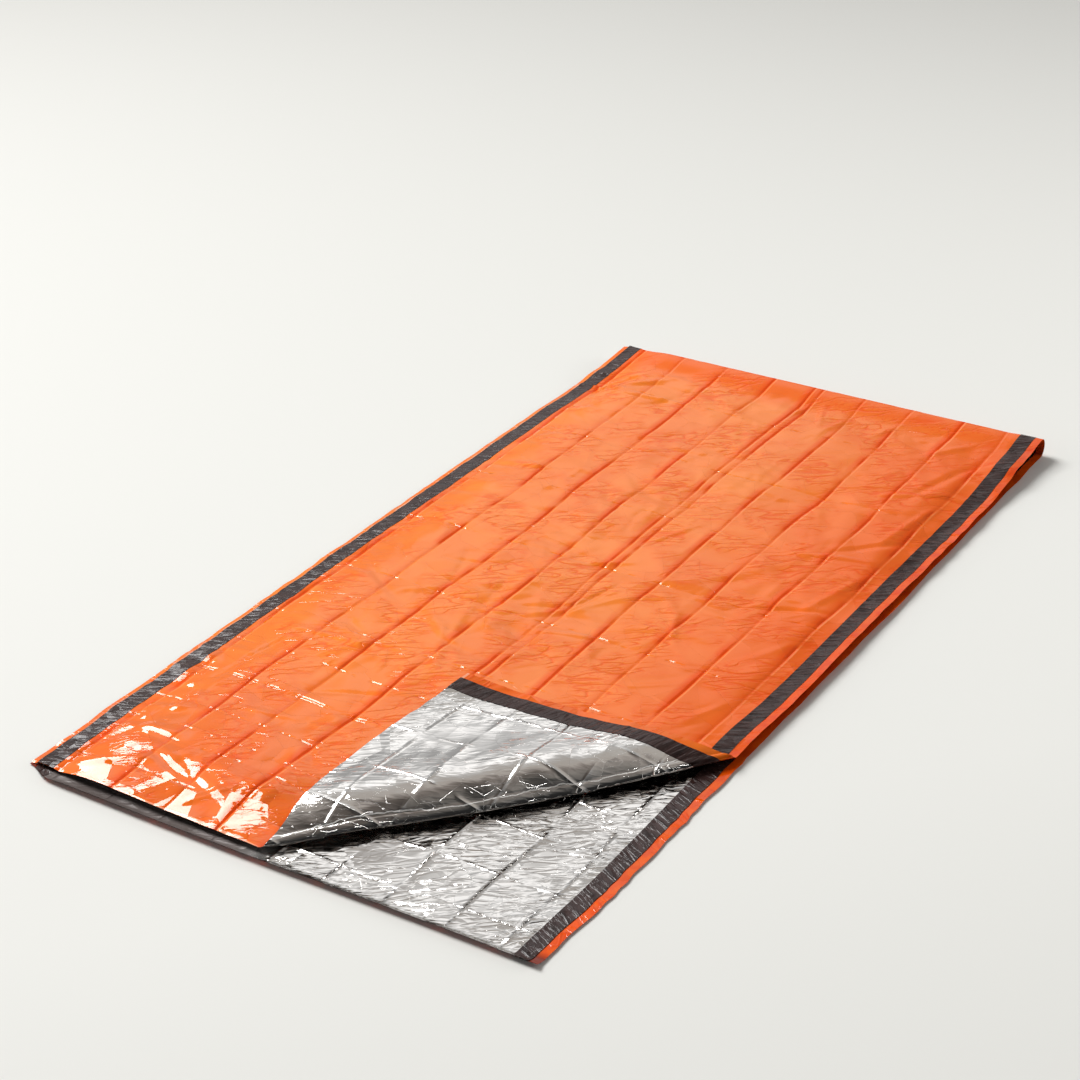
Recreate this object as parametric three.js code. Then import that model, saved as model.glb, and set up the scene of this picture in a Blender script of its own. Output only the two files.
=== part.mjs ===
// Emergency sleeping bag, laid out flat with its open corner turned over.
// One long sheet of orange film with a silver lining is folded in half at the foot,
// sealed along the left side and open along the right side and the mouth.
// Millimetres, +Z up: the mouth is at -Y, the foot at +Y and the sealed side at -X.
// The shape is worked out from the sheet's own two directions: `across` runs from the
// sealed side to the open side, and `along` runs from the mouth of the under panel,
// round the foot bend, and back to the mouth of the top panel.

import * as THREE from "three";

// ---- driving sizes -------------------------------------------------------------------

const SHEET_WIDTH = 1000;
const BAG_LENGTH = 1900;
const FOOT_BEND = 14; // how far the foot bend reaches past the two panels
const PANEL_LENGTH = BAG_LENGTH - FOOT_BEND;

const PLY = 1; // thickness of the film, the lining and the bands
const PLY_GAP = 0.3; // clear distance between two plies
const MARGIN = 16; // bare film outside each band
const BAND_WIDTH = 31;
const SEAL_WIDTH = 9; // strip along the left edge where both panels are one

const UNDER_REST = PLY + PLY_GAP / 2; // the film's underside lies on the ground
const UNDER_AT_BANDS = 2 * PLY + 1.5 * PLY_GAP + 0.15; // lifts it clear of the under bands
const SEALED_GAP = 1; // between the two panels' reference surfaces at the seal
const BAND_GAP = 6.4; // the same where bands lie between the panels
const OPEN_EDGE_GAP = 8; // the same at the open side, past the turned corner
const OPEN_SIDE_CLOSING = 0.3; // share by which the gap narrows towards the open side
const SEAM_RISE = 24; // the seam climbs this far beside the foot bend
const MOUTH_SETBACK = 4; // the top panel's mouth edge lies this far behind its line
const MOUTH_REACH = 22; // the under panel's mouth edge bows this far forward
const MOUTH_REACH_LOSS = 0.55; // and by this share less at the open side
const MOUTH_CURL = { height: 9, length: 17 }; // the lower mouth edge curls up

const BEND_STEPS = 6;

// The turned corner: the film folds over along a line from the mouth to the open side.
const FOLD_START = new THREE.Vector2(475, 0);
const FOLD_END = new THREE.Vector2(992, 585);
const FOLD_DIP = { depth: 10, width: 45 }; // the top panel sinks towards the fold
const FOLD_DIP_ENDS = 0.25; // and less so near the open side
const FOLD_BULGE = 9; // the fold bows outwards half-way along
const FOLD_SWELL_AT_ENDS = 0.25; // share of its crown's height that is left at both ends
const CORNER_SHEAR = 0.2; // the corner lies this much further along the fold
const CORNER_BOW = 26; // its mouth edge bows to the left
const CORNER_DEPTH = 390; // length of film from the fold line to its tip
const CORNER_RELIEF = 0.6; // its creases are this much lower than the top panel's
const CORNER_CURL = 8; // its tip stands up
const REST_LIFT = 10; // height of the turned corner over the top panel

// ---- tables --------------------------------------------------------------------------

// Where each eased step starts and ends. The first ones are counted across the sheet.
const STEP = {
  seal: [SEAL_WIDTH, MARGIN],
  besideLeftBand: [MARGIN + BAND_WIDTH, 60],
  besideRightBand: [925, 953],
  sealedSide: [0, 160],
  sealedGap: [MARGIN - 4, 130],
  sealedSeam: [0, 130],
  sealedReach: [0, 60],
  sealedCurl: [5, 90],
  sealedWander: [0, 90],
  leftSwell: [40, 120],
  rightSwell: [380, 465],
  mouthBow: [250, 1000],
  openSway: [760, 1000],
  openGap: [880, 1000],
  openEdge: [900, 990],
  openHalf: [900, 1000],
  openLift: [930, 1010],
  topCreasesLeft: [MARGIN + BAND_WIDTH, 112],
  topCreasesRight: [877, 953],
  underCreases: [500, 610],
  cornerColumns: [400, 470],
  // These are counted along a panel, from its mouth.
  underReach: [0, 260],
  underShown: [430, 590],
  underCreasesStart: [9, 60],
  topSetback: [0, 500],
  topDroop: [0, 130],
  cornerMouth: [0, 260],
  pastCorner: [630, 780],
  beforeFoot: [1560, 1800],
  // These are counted from the fold line outwards, and the last one along it.
  underCorner: [-420, -330],
  besideFold: [-60, -10],
  foldBulge: [-200, 0],
  cornerCreases: [20, 120],
  cornerTip: [300, 400],
  foldStart: [-60, 60],
};

// Lines across the sheet: the edges of seal, margins and bands, each packing crease and
// the soft swell between two creases. `top` and `under` are how far each stands out.
const ACROSS = [
  { at: 0, top: 0, under: 0 },
  { at: SEAL_WIDTH, top: 0, under: 0 },
  { at: MARGIN, top: 0, under: 0 },
  { at: MARGIN + BAND_WIDTH, top: 0.6, under: 0 },
  { at: 60, top: -2.4, under: 0 },
  { at: 112, top: 1.2, under: 0 },
  { at: 168, top: 3.0, under: 0 },
  { at: 275, top: -3.2, under: 0 },
  { at: 332, top: 0.9, under: 0 },
  { at: 390, top: 3.1, under: 0 },
  { at: 497, top: -3.4, under: 0 },
  { at: 551, top: 1.0, under: 0 },
  { at: 605, top: 3.0, under: -2.2 },
  { at: 715, top: -3.1, under: -2.6 },
  { at: 771, top: 1.1, under: -0.4 },
  { at: 828, top: 2.8, under: -2.3 },
  { at: 925, top: -2.4, under: -2.0 },
  { at: SHEET_WIDTH - MARGIN - BAND_WIDTH, top: 0.4, under: 0 },
  { at: SHEET_WIDTH - MARGIN, top: 0, under: 0 },
  { at: SHEET_WIDTH, top: 0, under: 0 },
];

// Lines along the top panel, measured from its mouth: every second one is a crease.
// `gap` is the clear height between the panels there, before the creases.
const TOP_LINES = [
  { at: 0, lift: 0, gap: 21 },
  { at: 26, lift: 0.3, gap: 20.5 },
  { at: 75, lift: 0.8, gap: 20 },
  { at: 150, lift: -2.4, gap: 19 },
  { at: 260, lift: 1.0, gap: 18 },
  { at: 360, lift: -2.6, gap: 17.5 },
  { at: 470, lift: 1.1, gap: 17.5 },
  { at: 585, lift: -2.3, gap: 17.5 },
  { at: 690, lift: 1.2, gap: 18 },
  { at: 790, lift: -2.6, gap: 18.5 },
  { at: 900, lift: 1.0, gap: 19 },
  { at: 1010, lift: -3.0, gap: 20 },
  { at: 1125, lift: 1.2, gap: 21 },
  { at: 1240, lift: -2.4, gap: 22 },
  { at: 1350, lift: 1.0, gap: 23 },
  { at: 1460, lift: -2.6, gap: 24 },
  { at: 1580, lift: 1.1, gap: 25 },
  { at: 1700, lift: -2.2, gap: 26 },
  { at: 1800, lift: 0.8, gap: 28.5 },
  { at: PANEL_LENGTH, lift: 0, gap: 38 },
];

// Lines along the under panel. It is smooth where it lies hidden on the ground.
const UNDER_LINES = [
  { at: 0, lift: 0 },
  { at: 9, lift: 0 },
  { at: MOUTH_CURL.length, lift: 0 },
  { at: 150, lift: -1.6 },
  { at: 230, lift: 0 },
  { at: 310, lift: -1.8 },
  { at: 450, lift: 0 },
  { at: 600, lift: 0 },
  { at: 800, lift: 0 },
  { at: 1010, lift: 0 },
  { at: 1240, lift: 0 },
  { at: 1460, lift: 0 },
  { at: 1700, lift: 0 },
  { at: PANEL_LENGTH, lift: 0 },
];

// The top panel's mouth edge droops, most beside the turned corner.
const MOUTH_DROOP = [
  { at: 0, droop: 0 },
  { at: 30, droop: 0.8 },
  { at: 60, droop: 5 },
  { at: 250, droop: 9 },
  { at: 400, droop: 12 },
  { at: 470, droop: 7 },
  { at: SHEET_WIDTH, droop: 8 },
];

// Left of the turned corner it swells behind the mouth.
const MOUTH_SWELL = [
  { at: 0, swell: 0 },
  { at: 118, swell: 5 },
  { at: 300, swell: 0 },
  { at: PANEL_LENGTH, swell: 0 },
];

// How far the seam lies outside its straight line.
const SEALED_SIDE_SWAY = [
  { at: 0, out: 10 },
  { at: 200, out: 14 },
  { at: 900, out: 18 },
  { at: 1500, out: 19 },
  { at: 1700, out: 15 },
  { at: 1790, out: 6 },
  { at: PANEL_LENGTH, out: 1 },
];
const SEAM_RISE_START = 1700;

// How far the open side of the under panel stands off the ground.
const OPEN_SIDE_LIFT = [
  { at: 0, lift: 3 },
  { at: 150, lift: 1.5 },
  { at: 400, lift: 2 },
  { at: 600, lift: 3 },
  { at: 800, lift: 7 },
  { at: 1000, lift: 9 },
  { at: 1250, lift: 6 },
  { at: 1500, lift: 7 },
  { at: 1700, lift: 4 },
  { at: PANEL_LENGTH, lift: 1 },
];

// How far the open side lies outside or inside its straight line.
const OPEN_SIDE_SWAY = [
  { at: 0, top: 0, under: -2 },
  { at: 250, top: 0, under: 5 },
  { at: 600, top: -4, under: 3 },
  { at: 850, top: 2, under: 7 },
  { at: 1200, top: 0, under: 8 },
  { at: 1550, top: 3, under: 4 },
  { at: PANEL_LENGTH, top: 0, under: 0 },
];

// The turned corner's section square to the fold: `run` is film past the fold line,
// `reach` how far outside the line it is, and `lift` its height over the top panel.
const FOLD_SECTION = [
  { run: 0, reach: 0, lift: 0 },
  { run: 3.9, reach: 3.5, lift: 1.5 },
  { run: 7.9, reach: 5, lift: 5 },
  { run: 11.8, reach: 3.5, lift: 8.5 },
  { run: 29, reach: -8, lift: 20 },
  { run: 50, reach: -24, lift: 32 },
  { run: 70, reach: -42, lift: 36 },
  { run: 92, reach: -63, lift: 35 },
  { run: 116, reach: -86, lift: 31 },
  { run: 146, reach: -115, lift: 24 },
  { run: 186, reach: -154, lift: 17 },
  { run: 232, reach: -200, lift: 13 },
  { run: 290, reach: -258, lift: REST_LIFT + 1 },
  { run: 420, reach: -388, lift: REST_LIFT },
];
const SHARP_ROWS = 4; // the first rows are the tight turn and don't shrink at the ends
const ROWS_BEFORE_FOLD = [-75, -30]; // rows on the top panel beside the fold line

// ---- small maths ---------------------------------------------------------------------

function between(table, key, value, place) {
  // Straight-line reading of a table's column.
  let row = 1;
  while (row < table.length - 1 && table[row][key] < place) row += 1;
  const low = table[row - 1];
  const high = table[row];
  const share = (place - low[key]) / (high[key] - low[key]);
  return low[value] + (high[value] - low[value]) * share;
}

function smoothBetween(table, key, value, place) {
  // Reads a table's column with an eased step from each row to the next.
  const last = table.length - 1;
  const inside = THREE.MathUtils.clamp(place, table[0][key], table[last][key]);
  let row = 1;
  while (row < last && table[row][key] < inside) row += 1;
  const low = table[row - 1];
  const high = table[row];
  const share = THREE.MathUtils.smoothstep(inside, low[key], high[key]);
  return low[value] + (high[value] - low[value]) * share;
}

const ramp = (value, [low, high]) => THREE.MathUtils.smoothstep(value, low, high);
const hump = (place, middle, width) => Math.exp(-(((place - middle) / width) ** 2));

// ---- the two panels, as laid ---------------------------------------------------------

function sideSway(across, along, panel) {
  // The sealed side bows outwards as far as its kink near the foot, and the open side wanders.
  const sealed = -between(SEALED_SIDE_SWAY, "at", "out", along) * (1 - ramp(across, STEP.sealedSide));
  const open = smoothBetween(OPEN_SIDE_SWAY, "at", panel, along) * ramp(across, STEP.openSway);
  const wander = 2.5 * Math.sin(along / 190 + across / 120) * ramp(across, STEP.sealedWander);
  return sealed + open + wander * (1 - ramp(across, STEP.openHalf));
}

function underHeight(across, along) {
  // Flat on the ground, except for the band strips, the open side, the mouth's curl and the
  // seam, which climbs to the foot bend.
  const strip = Math.max(1 - ramp(across, STEP.besideLeftBand), ramp(across, STEP.besideRightBand));
  const side = between(OPEN_SIDE_LIFT, "at", "lift", along) * ramp(across, STEP.openLift) ** 1.5;
  const curled = Math.max(0, 1 - along / MOUTH_CURL.length) ** 2;
  const curlAcross = ramp(across, STEP.sealedCurl) * (1 - 0.5 * ramp(across, STEP.openHalf));
  const curl = MOUTH_CURL.height * curled * curlAcross;
  const climb = THREE.MathUtils.inverseLerp(SEAM_RISE_START, PANEL_LENGTH, along);
  const seam = SEAM_RISE * THREE.MathUtils.clamp(climb, 0, 1) * (1 - ramp(across, STEP.sealedSeam));
  return UNDER_REST + (UNDER_AT_BANDS - UNDER_REST) * strip + side + curl + seam;
}

function panelGap(across, along) {
  // Clear height from the under panel to the top one: closed at the seal, and narrower
  // towards the open side's edges, most past the turned corner.
  const full = smoothBetween(TOP_LINES, "at", "gap", along);
  const shut = THREE.MathUtils.lerp(SEALED_GAP, BAND_GAP, ramp(across, STEP.seal));
  const opened = THREE.MathUtils.lerp(shut, full, ramp(across, STEP.sealedGap));
  const alongSide = 1 - ramp(along, STEP.beforeFoot);
  const narrowed = opened * (1 - OPEN_SIDE_CLOSING * ramp(across, STEP.openGap) * alongSide);
  const closing = ramp(across, STEP.openEdge) * alongSide * ramp(along, STEP.pastCorner);
  return THREE.MathUtils.lerp(narrowed, OPEN_EDGE_GAP, closing);
}

function endOfPanels(across) {
  // Where the foot bend starts: its depth shrinks to nothing at the seal.
  const halfGap = panelGap(across, PANEL_LENGTH) / 2;
  return BAG_LENGTH - Math.min(FOOT_BEND, halfGap);
}

function underPlace(across, along) {
  // The under panel: its mouth edge bows forward, most near the sealed side.
  const acrossShare = ramp(across, STEP.sealedReach) * (1 - MOUTH_REACH_LOSS * ramp(across, STEP.mouthBow));
  const reach = MOUTH_REACH * acrossShare * (1 - ramp(along, STEP.underReach));
  const y = (along * endOfPanels(across)) / PANEL_LENGTH - reach;
  return new THREE.Vector3(across + sideSway(across, along, "under"), y, underHeight(across, along));
}

function topPlace(across, along) {
  // The top panel: it lies over the under one by the gap, droops at its mouth edge and
  // swells behind it.
  const under = underHeight(across, Math.max(along, MOUTH_CURL.length));
  const setback = MOUTH_SETBACK * (1 - ramp(along, STEP.topSetback));
  const y = (along * endOfPanels(across)) / PANEL_LENGTH + setback;
  const droop = between(MOUTH_DROOP, "at", "droop", across) * (1 - ramp(along, STEP.topDroop));
  const leftOfCorner = ramp(across, STEP.leftSwell) * (1 - ramp(across, STEP.rightSwell));
  const swell = between(MOUTH_SWELL, "at", "swell", along) * leftOfCorner;
  const z = under + panelGap(across, along) - droop + swell;
  return new THREE.Vector3(across + sideSway(across, along, "top"), y, z);
}

function bendPlace(across, angle) {
  // Half an ellipse from the under panel's end up to the top panel's end.
  const low = underPlace(across, PANEL_LENGTH);
  const high = topPlace(across, PANEL_LENGTH);
  const reach = BAG_LENGTH - low.y;
  const place = low.lerp(high, (1 - Math.cos(angle)) / 2);
  place.y += reach * Math.sin(angle);
  return place;
}

// ---- the turned corner ---------------------------------------------------------------

const FOLD_LENGTH = FOLD_START.distanceTo(FOLD_END);
const FOLD_WAY = FOLD_END.clone().sub(FOLD_START).normalize();
const FOLD_OUT = new THREE.Vector2(FOLD_WAY.y, -FOLD_WAY.x);

function foldPlace(across, along) {
  // A point's place along the fold line, and how far outside the line it is.
  const from = new THREE.Vector2(across, along).sub(FOLD_START);
  return { way: from.dot(FOLD_WAY), out: from.dot(FOLD_OUT) };
}

function sunkTop(across, along) {
  // The top panel, sunk a little beside the fold line.
  const { way, out } = foldPlace(across, along);
  const place = topPlace(across, along);
  const openEnd = ramp(way, [0.7 * FOLD_LENGTH, FOLD_LENGTH]);
  const ends = ramp(way, STEP.foldStart) * THREE.MathUtils.lerp(1, FOLD_DIP_ENDS, openEnd);
  place.z -= FOLD_DIP.depth * ends * (out < 0 ? hump(out, 0, FOLD_DIP.width) : 1);
  const bulge = FOLD_BULGE * Math.sin(Math.PI * THREE.MathUtils.clamp(way / FOLD_LENGTH, 0, 1));
  const near = bulge * ramp(out, STEP.foldBulge);
  place.x += FOLD_OUT.x * near;
  place.y += FOLD_OUT.y * near;
  return place;
}

function foldLift(out, swell, rest) {
  // The section's height: its crown shrinks with swell, and its tight turn keeps its size.
  const rows = FOLD_SECTION.map(({ run, lift }, index) => {
    return { run, lift: index < SHARP_ROWS ? lift : rest + (lift - REST_LIFT) * swell };
  });
  return between(rows, "run", "lift", out);
}

function turnedPlace(across, along) {
  // Past the fold line the film goes round the tight turn, over a soft crown and back.
  const { way, out } = foldPlace(across, along);
  const crown = Math.sin(Math.PI * THREE.MathUtils.clamp(way / FOLD_LENGTH, 0.02, 0.98));
  const swell = THREE.MathUtils.lerp(FOLD_SWELL_AT_ENDS, 1, crown);
  const reach = between(FOLD_SECTION, "run", "reach", out);
  const rest = REST_LIFT + CORNER_CURL * ramp(out, STEP.cornerTip);
  const line = FOLD_START.clone().addScaledVector(FOLD_WAY, way + CORNER_SHEAR * out);
  const onPanel = line.clone().addScaledVector(FOLD_OUT, Math.min(reach, 0));
  const place = sunkTop(onPanel.x, onPanel.y);
  const beyond = Math.max(reach, 0);
  place.x += FOLD_OUT.x * beyond;
  place.y += FOLD_OUT.y * beyond;
  const towardsEdge = 1 - ramp(along, STEP.cornerMouth);
  place.x -= CORNER_BOW * Math.sin(Math.PI * Math.min(out / CORNER_DEPTH, 1)) * towardsEdge;
  place.z += foldLift(out, swell, rest);
  return place;
}

// ---- the sheet as a whole ------------------------------------------------------------

const BEND_LENGTH = 42;
const SHEET_LENGTH = 2 * PANEL_LENGTH + BEND_LENGTH;
const onTop = (along) => along >= PANEL_LENGTH + BEND_LENGTH;
const fromMouth = (along) => SHEET_LENGTH - along;

function smoothPlace(across, along) {
  if (along <= PANEL_LENGTH) return underPlace(across, along);
  if (!onTop(along)) return bendPlace(across, (Math.PI * (along - PANEL_LENGTH)) / BEND_LENGTH);
  const back = fromMouth(along);
  if (foldPlace(across, back).out > 0) return turnedPlace(across, back);
  return sunkTop(across, back);
}

function outward(across, along) {
  // Unit direction from the lining side to the film side.
  const step = 0.5;
  const wide = smoothPlace(across + step, along).sub(smoothPlace(across - step, along));
  const long = smoothPlace(across, along + step).sub(smoothPlace(across, along - step));
  return long.cross(wide).normalize();
}

function relief(across, along) {
  // Height of the packing creases, uneven along their length.
  const uneven = 0.75 + 0.25 * Math.sin(along / 130 + across / 75);
  if (along <= PANEL_LENGTH) {
    const shown = (1 - ramp(along, STEP.underShown)) * ramp(along, STEP.underCreasesStart);
    const lines = between(ACROSS, "at", "under", across);
    const inside = ramp(across, STEP.underCreases) * (1 - ramp(across, STEP.besideRightBand));
    return (lines + between(UNDER_LINES, "at", "lift", along) * inside) * shown;
  }
  if (!onTop(along)) return 0;
  const back = fromMouth(along);
  const { out } = foldPlace(across, back);
  const quiet = 1 - 0.65 * ramp(out, STEP.underCorner) * ramp(across, STEP.cornerColumns);
  const onCorner = CORNER_RELIEF * ramp(out, STEP.cornerCreases);
  const share = out > 0 ? onCorner : quiet * (1 - ramp(out, STEP.besideFold));
  const lines = between(ACROSS, "at", "top", across) * ramp(PANEL_LENGTH - back, [0, 60]);
  const inside = ramp(across, STEP.topCreasesLeft) * (1 - ramp(across, STEP.topCreasesRight));
  const crossings = between(TOP_LINES, "at", "lift", back) * inside;
  return (lines + crossings) * uneven * share;
}

function plyPlace(across, along, offset) {
  // A point of one face of one ply: offset is counted from between film and lining.
  const normal = outward(across, along);
  const place = smoothPlace(across, along);
  return place.addScaledVector(normal, relief(across, along) + offset);
}

// ---- cells: the sheet cut by its lines and by the fold's rows -------------------------

function splitCells(cells, side) {
  // Cuts every convex cell that lies on both sides of the line where side() is zero.
  const near = 1e-6;
  return cells.flatMap((cell) => {
    const sides = cell.map(side);
    if (!(Math.min(...sides) < -near && Math.max(...sides) > near)) return [cell];
    const halves = [[], []];
    cell.forEach((corner, index) => {
      const next = (index + 1) % cell.length;
      if (sides[index] <= near) halves[0].push(corner);
      if (sides[index] >= -near) halves[1].push(corner);
      if (sides[index] * sides[next] < -near * near) {
        const share = sides[index] / (sides[index] - sides[next]);
        const cut = corner.map((value, axis) => value + (cell[next][axis] - value) * share);
        halves.forEach((half) => half.push(cut));
      }
    });
    return halves.filter((half) => half.length > 2);
  });
}

function stationsAlong() {
  const under = UNDER_LINES.map((line) => line.at);
  const bend = Array.from({ length: BEND_STEPS - 1 }, (_, step) => {
    return PANEL_LENGTH + (BEND_LENGTH * (step + 1)) / BEND_STEPS;
  });
  const top = TOP_LINES.map((line) => SHEET_LENGTH - line.at).reverse();
  return [...under, ...bend, ...top];
}

function sheetCells() {
  const stations = stationsAlong();
  const cells = [];
  for (let row = 1; row < stations.length; row += 1) {
    for (let column = 1; column < ACROSS.length; column += 1) {
      const [left, right] = [ACROSS[column - 1].at, ACROSS[column].at];
      const [start, end] = [stations[row - 1], stations[row]];
      cells.push([[left, start], [right, start], [right, end], [left, end]]);
    }
  }
  const isTop = (cell) => cell.every(([, along]) => onTop(along - 1e-6) || onTop(along));
  let folded = cells.filter(isTop);
  const rows = [...ROWS_BEFORE_FOLD, ...FOLD_SECTION.map((row) => row.run)];
  for (const row of rows) {
    folded = splitCells(folded, ([across, along]) => foldPlace(across, fromMouth(along)).out - row);
  }
  return [...cells.filter((cell) => !isTop(cell)), ...folded];
}

const CELLS = sheetCells();

// ---- plies ---------------------------------------------------------------------------

function emptyBody() {
  return { positions: [], numbers: new Map(), faces: [] };
}

function cornerNumber(body, [across, along], offset) {
  // The number of a corner on one face of a ply; a new corner is added once.
  const key = [across.toFixed(4), along.toFixed(4), offset].join();
  if (!body.numbers.has(key)) {
    body.numbers.set(key, body.numbers.size);
    body.positions.push(...plyPlace(across, along, offset).toArray());
  }
  return body.numbers.get(key);
}

function addSkin(body, cells, offset, facesOut) {
  // One face of a ply: each convex cell becomes a fan of triangles.
  for (const cell of cells) {
    const ring = cell.map((corner) => cornerNumber(body, corner, offset));
    for (let turn = 1; turn < ring.length - 1; turn += 1) {
      const [second, third] = facesOut ? [turn + 1, turn] : [turn, turn + 1];
      body.faces.push(ring[0], ring[second], ring[third]);
    }
  }
}

function addRim(body, cells, inner, outer, isCut) {
  // The cut edge between a ply's two faces, where only one cell has the edge.
  const nameOf = ([start, end]) => [...start, ...end].map((value) => value.toFixed(4)).join();
  const edges = cells.flatMap((cell) => {
    return cell.map((corner, index) => [corner, cell[(index + 1) % cell.length]]);
  });
  const names = new Set(edges.map(nameOf));
  for (const [start, end] of edges) {
    if (names.has(nameOf([end, start])) || !isCut(start, end)) continue;
    const [a, b] = [start, end].map((corner) => cornerNumber(body, corner, outer));
    const [c, d] = [start, end].map((corner) => cornerNumber(body, corner, inner));
    body.faces.push(a, b, d, a, d, c);
  }
}

function addSeam(body, across, offset, facesLeft) {
  // Joins the two panels along one line of the seal, from the mouth to the foot bend.
  const stations = stationsAlong();
  const turn = PANEL_LENGTH + BEND_LENGTH / 2;
  const under = stations.filter((along) => along <= turn);
  const top = stations.filter((along) => along >= turn).reverse();
  const fromFront = (along) => (onTop(along) ? fromMouth(along) : Math.min(along, PANEL_LENGTH));
  let [low, high] = [0, 0];
  while (low < under.length - 1 || high < top.length - 1) {
    const isNearer = fromFront(under[low + 1] ?? turn) <= fromFront(top[high + 1] ?? turn);
    const takeUnder = (low < under.length - 1 && isNearer) || high === top.length - 1;
    const third = takeUnder ? under[low + 1] : top[high + 1];
    const ring = [under[low], top[high], third].map((along) => cornerNumber(body, [across, along], offset));
    if (!facesLeft) ring.reverse();
    if (new Set(ring).size === 3) body.faces.push(...ring);
    if (takeUnder) low += 1;
    else high += 1;
  }
}

function geometryOf(body) {
  const geometry = new THREE.BufferGeometry();
  geometry.setAttribute("position", new THREE.Float32BufferAttribute(body.positions, 3));
  geometry.setIndex(body.faces);
  return geometry;
}

function cellsAcross(from, to) {
  return CELLS.filter((cell) => cell.every(([across]) => across >= from && across <= to));
}

function plyGeometry([from, to], [inner, outer]) {
  // A closed sheet between two offsets, from one line across to another.
  const cells = cellsAcross(from, to);
  const body = emptyBody();
  addSkin(body, cells, outer, true);
  addSkin(body, cells, inner, false);
  addRim(body, cells, inner, outer, () => true);
  return geometryOf(body);
}

function filmGeometry([inner, outer]) {
  // The film: one sheet, with its two panels made one along the seal.
  const open = cellsAcross(SEAL_WIDTH, SHEET_WIDTH);
  const body = emptyBody();
  addSkin(body, CELLS, outer, true);
  addSkin(body, open, inner, false);
  addRim(body, open, inner, outer, (start, end) => Math.max(start[0], end[0]) > SEAL_WIDTH);
  addSeam(body, 0, outer, true);
  addSeam(body, SEAL_WIDTH, inner, false);
  const mouth = [
    [[0, 0], outer],
    [[SEAL_WIDTH, 0], outer],
    [[SEAL_WIDTH, 0], inner],
    [[SEAL_WIDTH, SHEET_LENGTH], inner],
    [[SEAL_WIDTH, SHEET_LENGTH], outer],
    [[0, SHEET_LENGTH], outer],
  ].map(([corner, offset]) => cornerNumber(body, corner, offset));
  for (let turn = 1; turn < mouth.length - 1; turn += 1) {
    body.faces.push(mouth[0], mouth[turn], mouth[turn + 1]);
  }
  return geometryOf(body);
}

// ---- the pieces ----------------------------------------------------------------------

const FILM = [PLY_GAP / 2, PLY_GAP / 2 + PLY];
const LINING = [-PLY_GAP / 2 - PLY, -PLY_GAP / 2];
const OUTER_BAND = [1.5 * PLY_GAP + PLY, 1.5 * PLY_GAP + 2 * PLY];
const INNER_BAND = [-1.5 * PLY_GAP - 2 * PLY, -1.5 * PLY_GAP - PLY];

const orangeFilm = new THREE.MeshStandardMaterial({ color: 0xf0672e, roughness: 0.35, metalness: 0 });
const silverFilm = new THREE.MeshStandardMaterial({ color: 0xc4c4c2, roughness: 0.2, metalness: 1 });
const blackTape = new THREE.MeshStandardMaterial({ color: 0x26262a, roughness: 0.35, metalness: 0 });

const liningWidth = [MARGIN, SHEET_WIDTH - MARGIN];
const leftBand = [MARGIN, MARGIN + BAND_WIDTH];
const rightBand = [SHEET_WIDTH - MARGIN - BAND_WIDTH, SHEET_WIDTH - MARGIN];

const pieces = [
  { name: "shell", geometry: filmGeometry(FILM), material: orangeFilm },
  { name: "lining", geometry: plyGeometry(liningWidth, LINING), material: silverFilm },
  { name: "band_outer_left", geometry: plyGeometry(leftBand, OUTER_BAND), material: blackTape },
  { name: "band_outer_right", geometry: plyGeometry(rightBand, OUTER_BAND), material: blackTape },
  { name: "band_inner_left", geometry: plyGeometry(leftBand, INNER_BAND), material: blackTape },
  { name: "band_inner_right", geometry: plyGeometry(rightBand, INNER_BAND), material: blackTape },
];

const bag = new THREE.Group();
const box = new THREE.Box3();
for (const { name, geometry, material } of pieces) {
  const mesh = new THREE.Mesh(geometry, material);
  mesh.name = name;
  bag.add(mesh);
  geometry.computeBoundingBox();
  box.union(geometry.boundingBox);
}
const middle = box.getCenter(new THREE.Vector3());
bag.children.forEach((mesh) => mesh.position.set(-middle.x, -middle.y, -box.min.z));

export default bag;
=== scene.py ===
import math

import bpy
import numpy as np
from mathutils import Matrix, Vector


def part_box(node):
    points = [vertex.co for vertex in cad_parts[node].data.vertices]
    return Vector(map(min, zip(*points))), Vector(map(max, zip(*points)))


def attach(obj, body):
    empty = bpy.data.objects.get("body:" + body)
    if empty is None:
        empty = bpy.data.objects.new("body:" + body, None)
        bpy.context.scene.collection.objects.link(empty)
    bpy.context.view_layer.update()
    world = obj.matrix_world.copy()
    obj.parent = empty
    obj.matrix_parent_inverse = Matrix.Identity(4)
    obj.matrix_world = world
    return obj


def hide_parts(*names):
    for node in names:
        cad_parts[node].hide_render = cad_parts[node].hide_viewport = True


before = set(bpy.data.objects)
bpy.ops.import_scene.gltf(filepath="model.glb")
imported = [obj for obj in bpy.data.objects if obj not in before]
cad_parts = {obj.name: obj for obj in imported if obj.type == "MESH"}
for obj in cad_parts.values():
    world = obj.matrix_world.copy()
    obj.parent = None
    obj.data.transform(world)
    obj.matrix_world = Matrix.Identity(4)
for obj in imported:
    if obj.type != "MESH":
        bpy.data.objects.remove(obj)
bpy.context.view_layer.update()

# Emergency sleeping bag, laid out flat with the corner of its open side turned over.
# One long sheet of orange film with a silver lining is folded in half at the foot. Every
# piece is worked out from the sheet's own two directions, in millimetres: `across` runs
# from the sealed side to the open side, and `along` runs from the mouth of the under
# panel, round the foot bend and back to the mouth of the top panel. `back` is the same
# distance counted from the top panel's mouth.

# ---- camera ----------------------------------------------------------------------------

CAMERA_PLACE = Vector((1.9625, -3.1080, 2.122))
CAMERA_LOOKS = Vector((-0.4861, 0.7315, -0.4781))
CAMERA_ROLL = math.radians(-1.7)
CAMERA_LENS = 76.44


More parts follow.
